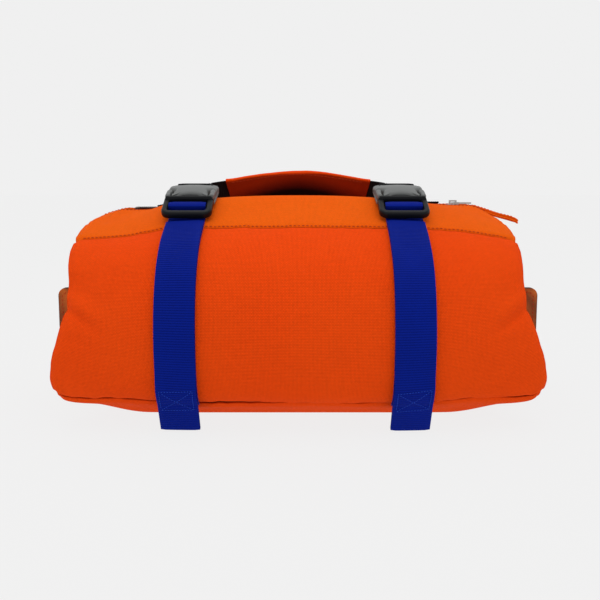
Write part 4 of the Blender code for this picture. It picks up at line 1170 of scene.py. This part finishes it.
# ---- leather tabs ------------------------------------------------------------------------------
def leather_tab(name, side):
    """Two layers of leather with a painted rim, standing out from the middle of an end panel."""
    thickness, half, corner = settings("leather").thickness, 0.020, 0.006
    root, reach = BAG_HALF_WIDTH * 0.985 - 0.0010, 0.1720
    outline = np.array([(x, -half) for x in np.linspace(root, reach - corner, 8)[:-1]]
                       + arc((reach - corner, corner - half), corner, -90, 0)
                       + [(reach, z) for z in np.linspace(corner - half, half - corner, 12)[1:-1]]
                       + arc((reach - corner, half - corner), corner, 0, 90)
                       + [(x, half) for x in np.linspace(reach - corner, root, 8)[1:]]
                       + [(root, z) for z in np.linspace(half, -half, 10)[1:-1]])
    layers = ((-thickness / 2, -0.00004), (0.00004, thickness / 2))
    points, faces = joined([plate(outline, low, high, 0.0005) for low, high in layers])
    near = np.minimum(reach - points[:, 0], half - np.abs(points[:, 1]))
    painted = 1 - soft_step(near, 0.0002, 0.0010)

    def place(x, z, out):
        wave = 0.0006 * np.sin(z * 90) * (x - root) / 0.015
        return np.stack([side * x, FRONT_Y + BAG_DEPTH / 2 + out + wave, 0.063 + z], axis=-1)
    placed = place(points[:, 0], points[:, 1], points[:, 2])
    blocks = [block[:, ::-1] for block in faces] if side > 0 else faces
    new_piece(name, placed, blocks, "tan_leather", nodes=(name,), edge=painted)
    first, last, side_z = root + 0.002, reach - corner, half - 0.003
    turn = np.array([(first, side_z), (last, side_z), (last + 0.003, half - corner),
                     (last + 0.003, corner - half), (last, -side_z), (first, -side_z)])
    legs = lengths(turn)
    run = np.linspace(0.0, legs[-1], 160)
    x, z = np.interp(run, legs, turn[:, 0]), np.interp(run, legs, turn[:, 1])
    for face, out in (("front", -1), ("rear", 1)):
        path = place(x, z, np.full_like(x, out * (thickness / 2 + 0.0001)))
        stitches(f"{name}_stitch_{face}", path, np.tile((0.0, float(out), 0.0), (160, 1)), 0.0030,
                 "canvas_thread", slot="tan_leather")


# ---- operators ---------------------------------------------------------------------------------
class WEIGHTBAG_OT_canvas(bpy.types.Operator):
    """Sew the filled canvas shell from its panels"""
    bl_idname = "weightbag.canvas"
    bl_label = "Canvas shell"

    def execute(self, context):
        wrap_panel("front_panel", FRONT_BASE, FRONT_TOP, 130)
        wrap_panel("top_front_strip", FRONT_TOP, ZIP_FRONT, 60, "canvas_top")
        wrap_panel("top_rear_strip", ZIP_REAR, REAR_TOP, 44, "canvas_top")
        wrap_panel("back_panel", REAR_TOP, REAR_BASE, 110)
        wrap_panel("base_panel", REAR_BASE, AROUND, 90)
        for word, side in SIDES:
            end_panel(f"end_panel_{word}", side)
        return {"FINISHED"}


class WEIGHTBAG_OT_seams(bpy.types.Operator):
    """Run thread along the seams of the canvas"""
    bl_idname = "weightbag.seams"
    bl_label = "Seam stitches"

    def execute(self, context):
        rows = {"front_top": FRONT_TOP + 0.055, "rear_top": REAR_TOP - 0.16, "zip_front": ZIP_FRONT - 0.16,
                "zip_rear": ZIP_REAR + 0.22}
        for word, v in rows.items():
            s = np.linspace(-0.965, 0.965, 900)
            place = np.full_like(s, v)
            stitches(f"seam_stitch_{word}", skin(s, place, 0.0001), bag_normal(s, place), 0.0028,
                     "canvas_thread", slot="canvas_top")
        return {"FINISHED"}


class WEIGHTBAG_OT_zip(bpy.types.Operator):
    """Set in the zip with its coil, slider, pull, stops and end tab"""
    bl_idname = "weightbag.zip"
    bl_label = "Zip"

    def execute(self, context):
        zip_tapes()
        zip_coil()
        zip_end_tab()
        for name in ("zip_slider", "zip_pull", "zip_stop_left", "zip_stop_right"):
            keep_node(name, "zip_metal")
        return {"FINISHED"}


class WEIGHTBAG_OT_straps(bpy.types.Operator):
    """Lay the load straps, their tails, loops and anchors"""
    bl_idname = "weightbag.straps"
    bl_label = "Straps"

    def execute(self, context):
        for word, side in SIDES:
            middle = side * STRAP_X + STRAP_SHIFT
            load_strap(word, middle)
            strap_tail(word, middle)
            strap_loop(word, middle)
            anchor_strap(word, middle)
        return {"FINISHED"}


class WEIGHTBAG_OT_buckles(bpy.types.Operator):
    """Finish the side-release buckles"""
    bl_idname = "weightbag.buckles"
    bl_label = "Buckles"

    def execute(self, context):
        for word, side in SIDES:
            middle = side * STRAP_X + STRAP_SHIFT
            buckle_body(word, middle)
            buckle_frame(word, middle)
            buckle_arm(word, middle, "inner", -side)
            buckle_arm(word, middle, "outer", side)
        return {"FINISHED"}


class WEIGHTBAG_OT_handle(bpy.types.Operator):
    """Arch the carry handle with its canvas sleeve"""
    bl_idname = "weightbag.handle"
    bl_label = "Carry handle"

    def execute(self, context):
        handle_webbing()
        handle_sleeve()
        for word, side in SIDES:
            handle_end(f"handle_end_{word}", side)
        return {"FINISHED"}


class WEIGHTBAG_OT_tabs(bpy.types.Operator):
    """Cut and stitch the leather end tabs"""
    bl_idname = "weightbag.tabs"
    bl_label = "Leather tabs"

    def execute(self, context):
        for word, side in SIDES:
            leather_tab(f"leather_tab_{word}", side)
        return {"FINISHED"}


class WEIGHTBAG_OT_contents(bpy.types.Operator):
    """Finish the base board, liners and sand inside"""
    bl_idname = "weightbag.contents"
    bl_label = "Board, liners and sand"

    def execute(self, context):
        keep_node("base_board", "board")
        for word in ("left", "right"):
            keep_node(f"liner_{word}", "liner")
            keep_node(f"sand_fill_{word}", "sand")
        return {"FINISHED"}


def keep_node(name, finish):
    """A solid-model node that shows as it is, with its own finish."""
    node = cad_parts[name]
    node.data.materials.clear()
    node.data.materials.append(finish_for(finish))


def glow(name, level, share):
    """A pale surface that mostly gives off its own even light, so that shadows on it stay faint."""
    f = Finish(name, Roughness=0.9, Base_Color=(level, level, level, 1.0))
    light = f.node("ShaderNodeEmission", None, {"Color": (level, level, level), "Strength": 1.0})
    mixed = f.node("ShaderNodeMixShader", None, {0: share, 1: Wire(f, f.shader.outputs[0]), 2: light})
    f.tree.links.new(mixed.socket, f.tree.nodes["Material Output"].inputs["Surface"])
    return f.material


class WEIGHTBAG_OT_stage(bpy.types.Operator):
    """Set the floor, the soft light and the camera"""
    bl_idname = "weightbag.stage"
    bl_label = "Stage"

    def execute(self, context):
        scene, stage = context.scene, settings("stage")
        scene.view_settings.view_transform = "Standard"
        reach = 6.0
        floor = bpy.data.meshes.new("floor")
        floor.from_pydata([(-reach, -reach, -0.0004), (reach, -reach, -0.0004), (reach, reach, -0.0004),
                           (-reach, reach, -0.0004)], [], [(0, 1, 2, 3)])
        floor.materials.append(glow("pale floor", stage.level, 0.95))
        floor = bpy.data.objects.new("floor", floor)
        scene.collection.objects.link(floor)
        world = bpy.data.worlds.new("soft surroundings")
        world.use_nodes = True
        sky = world.node_tree.nodes["Background"]
        sky.inputs["Color"].default_value = (stage.level, stage.level, stage.level, 1.0)
        sky.inputs["Strength"].default_value = 1.0
        scene.world = world
        lamp = bpy.data.lights.new("top light", "AREA")
        lamp.shape, lamp.size, lamp.energy = "SQUARE", 1.1, stage.key
        light = bpy.data.objects.new("top light", lamp)
        light.location = (0.0, -0.25, 1.3)
        light.rotation_euler = (-np.arctan2(0.25, 1.2), 0.0, 0.0)
        scene.collection.objects.link(light)
        lens = bpy.data.cameras.new("camera")
        lens.lens, lens.sensor_width = stage.lens, 36.0
        lens.clip_start, lens.clip_end = 0.01, 50.0
        camera = bpy.data.objects.new("camera", lens)
        camera.location = stage.eye
        camera.rotation_euler = (pi / 2 - stage.pitch, 0.0, 0.0)
        scene.collection.objects.link(camera)
        scene.camera = camera
        return {"FINISHED"}


class WEIGHTBAG_PT_sidebar(bpy.types.Panel):
    """Pieces of the weight bag and their sizes"""
    bl_label = "Weight bag"
    bl_idname = "WEIGHTBAG_PT_sidebar"
    bl_space_type = "VIEW_3D"
    bl_region_type = "UI"
    bl_category = "Weight bag"

    def draw(self, context):
        for step in STEPS:
            self.layout.operator(step.bl_idname)
        for name, group in GROUPS.items():
            box = self.layout.box()
            box.label(text=name.capitalize())
            for key in group.__annotations__:
                box.prop(settings(name), key)


STEPS = (WEIGHTBAG_OT_stage, WEIGHTBAG_OT_canvas, WEIGHTBAG_OT_seams, WEIGHTBAG_OT_zip, WEIGHTBAG_OT_straps,
         WEIGHTBAG_OT_buckles, WEIGHTBAG_OT_handle, WEIGHTBAG_OT_tabs, WEIGHTBAG_OT_contents)
CLASSES = (*GROUPS.values(), *STEPS, WEIGHTBAG_PT_sidebar)


def register():
    for each in CLASSES:
        bpy.utils.register_class(each)
    for name, group in GROUPS.items():
        setattr(bpy.types.Scene, "weight_bag_" + name, PointerProperty(type=group))


def unregister():
    for name in GROUPS:
        delattr(bpy.types.Scene, "weight_bag_" + name)
    for each in reversed(CLASSES):
        bpy.utils.unregister_class(each)


def main():
    register()
    for step in STEPS:
        area, word = step.bl_idname.split(".")
        if getattr(getattr(bpy.ops, area), word)() != {"FINISHED"}:
            raise RuntimeError(f"{step.bl_label} was not made")


if __name__ == "__main__":
    main()
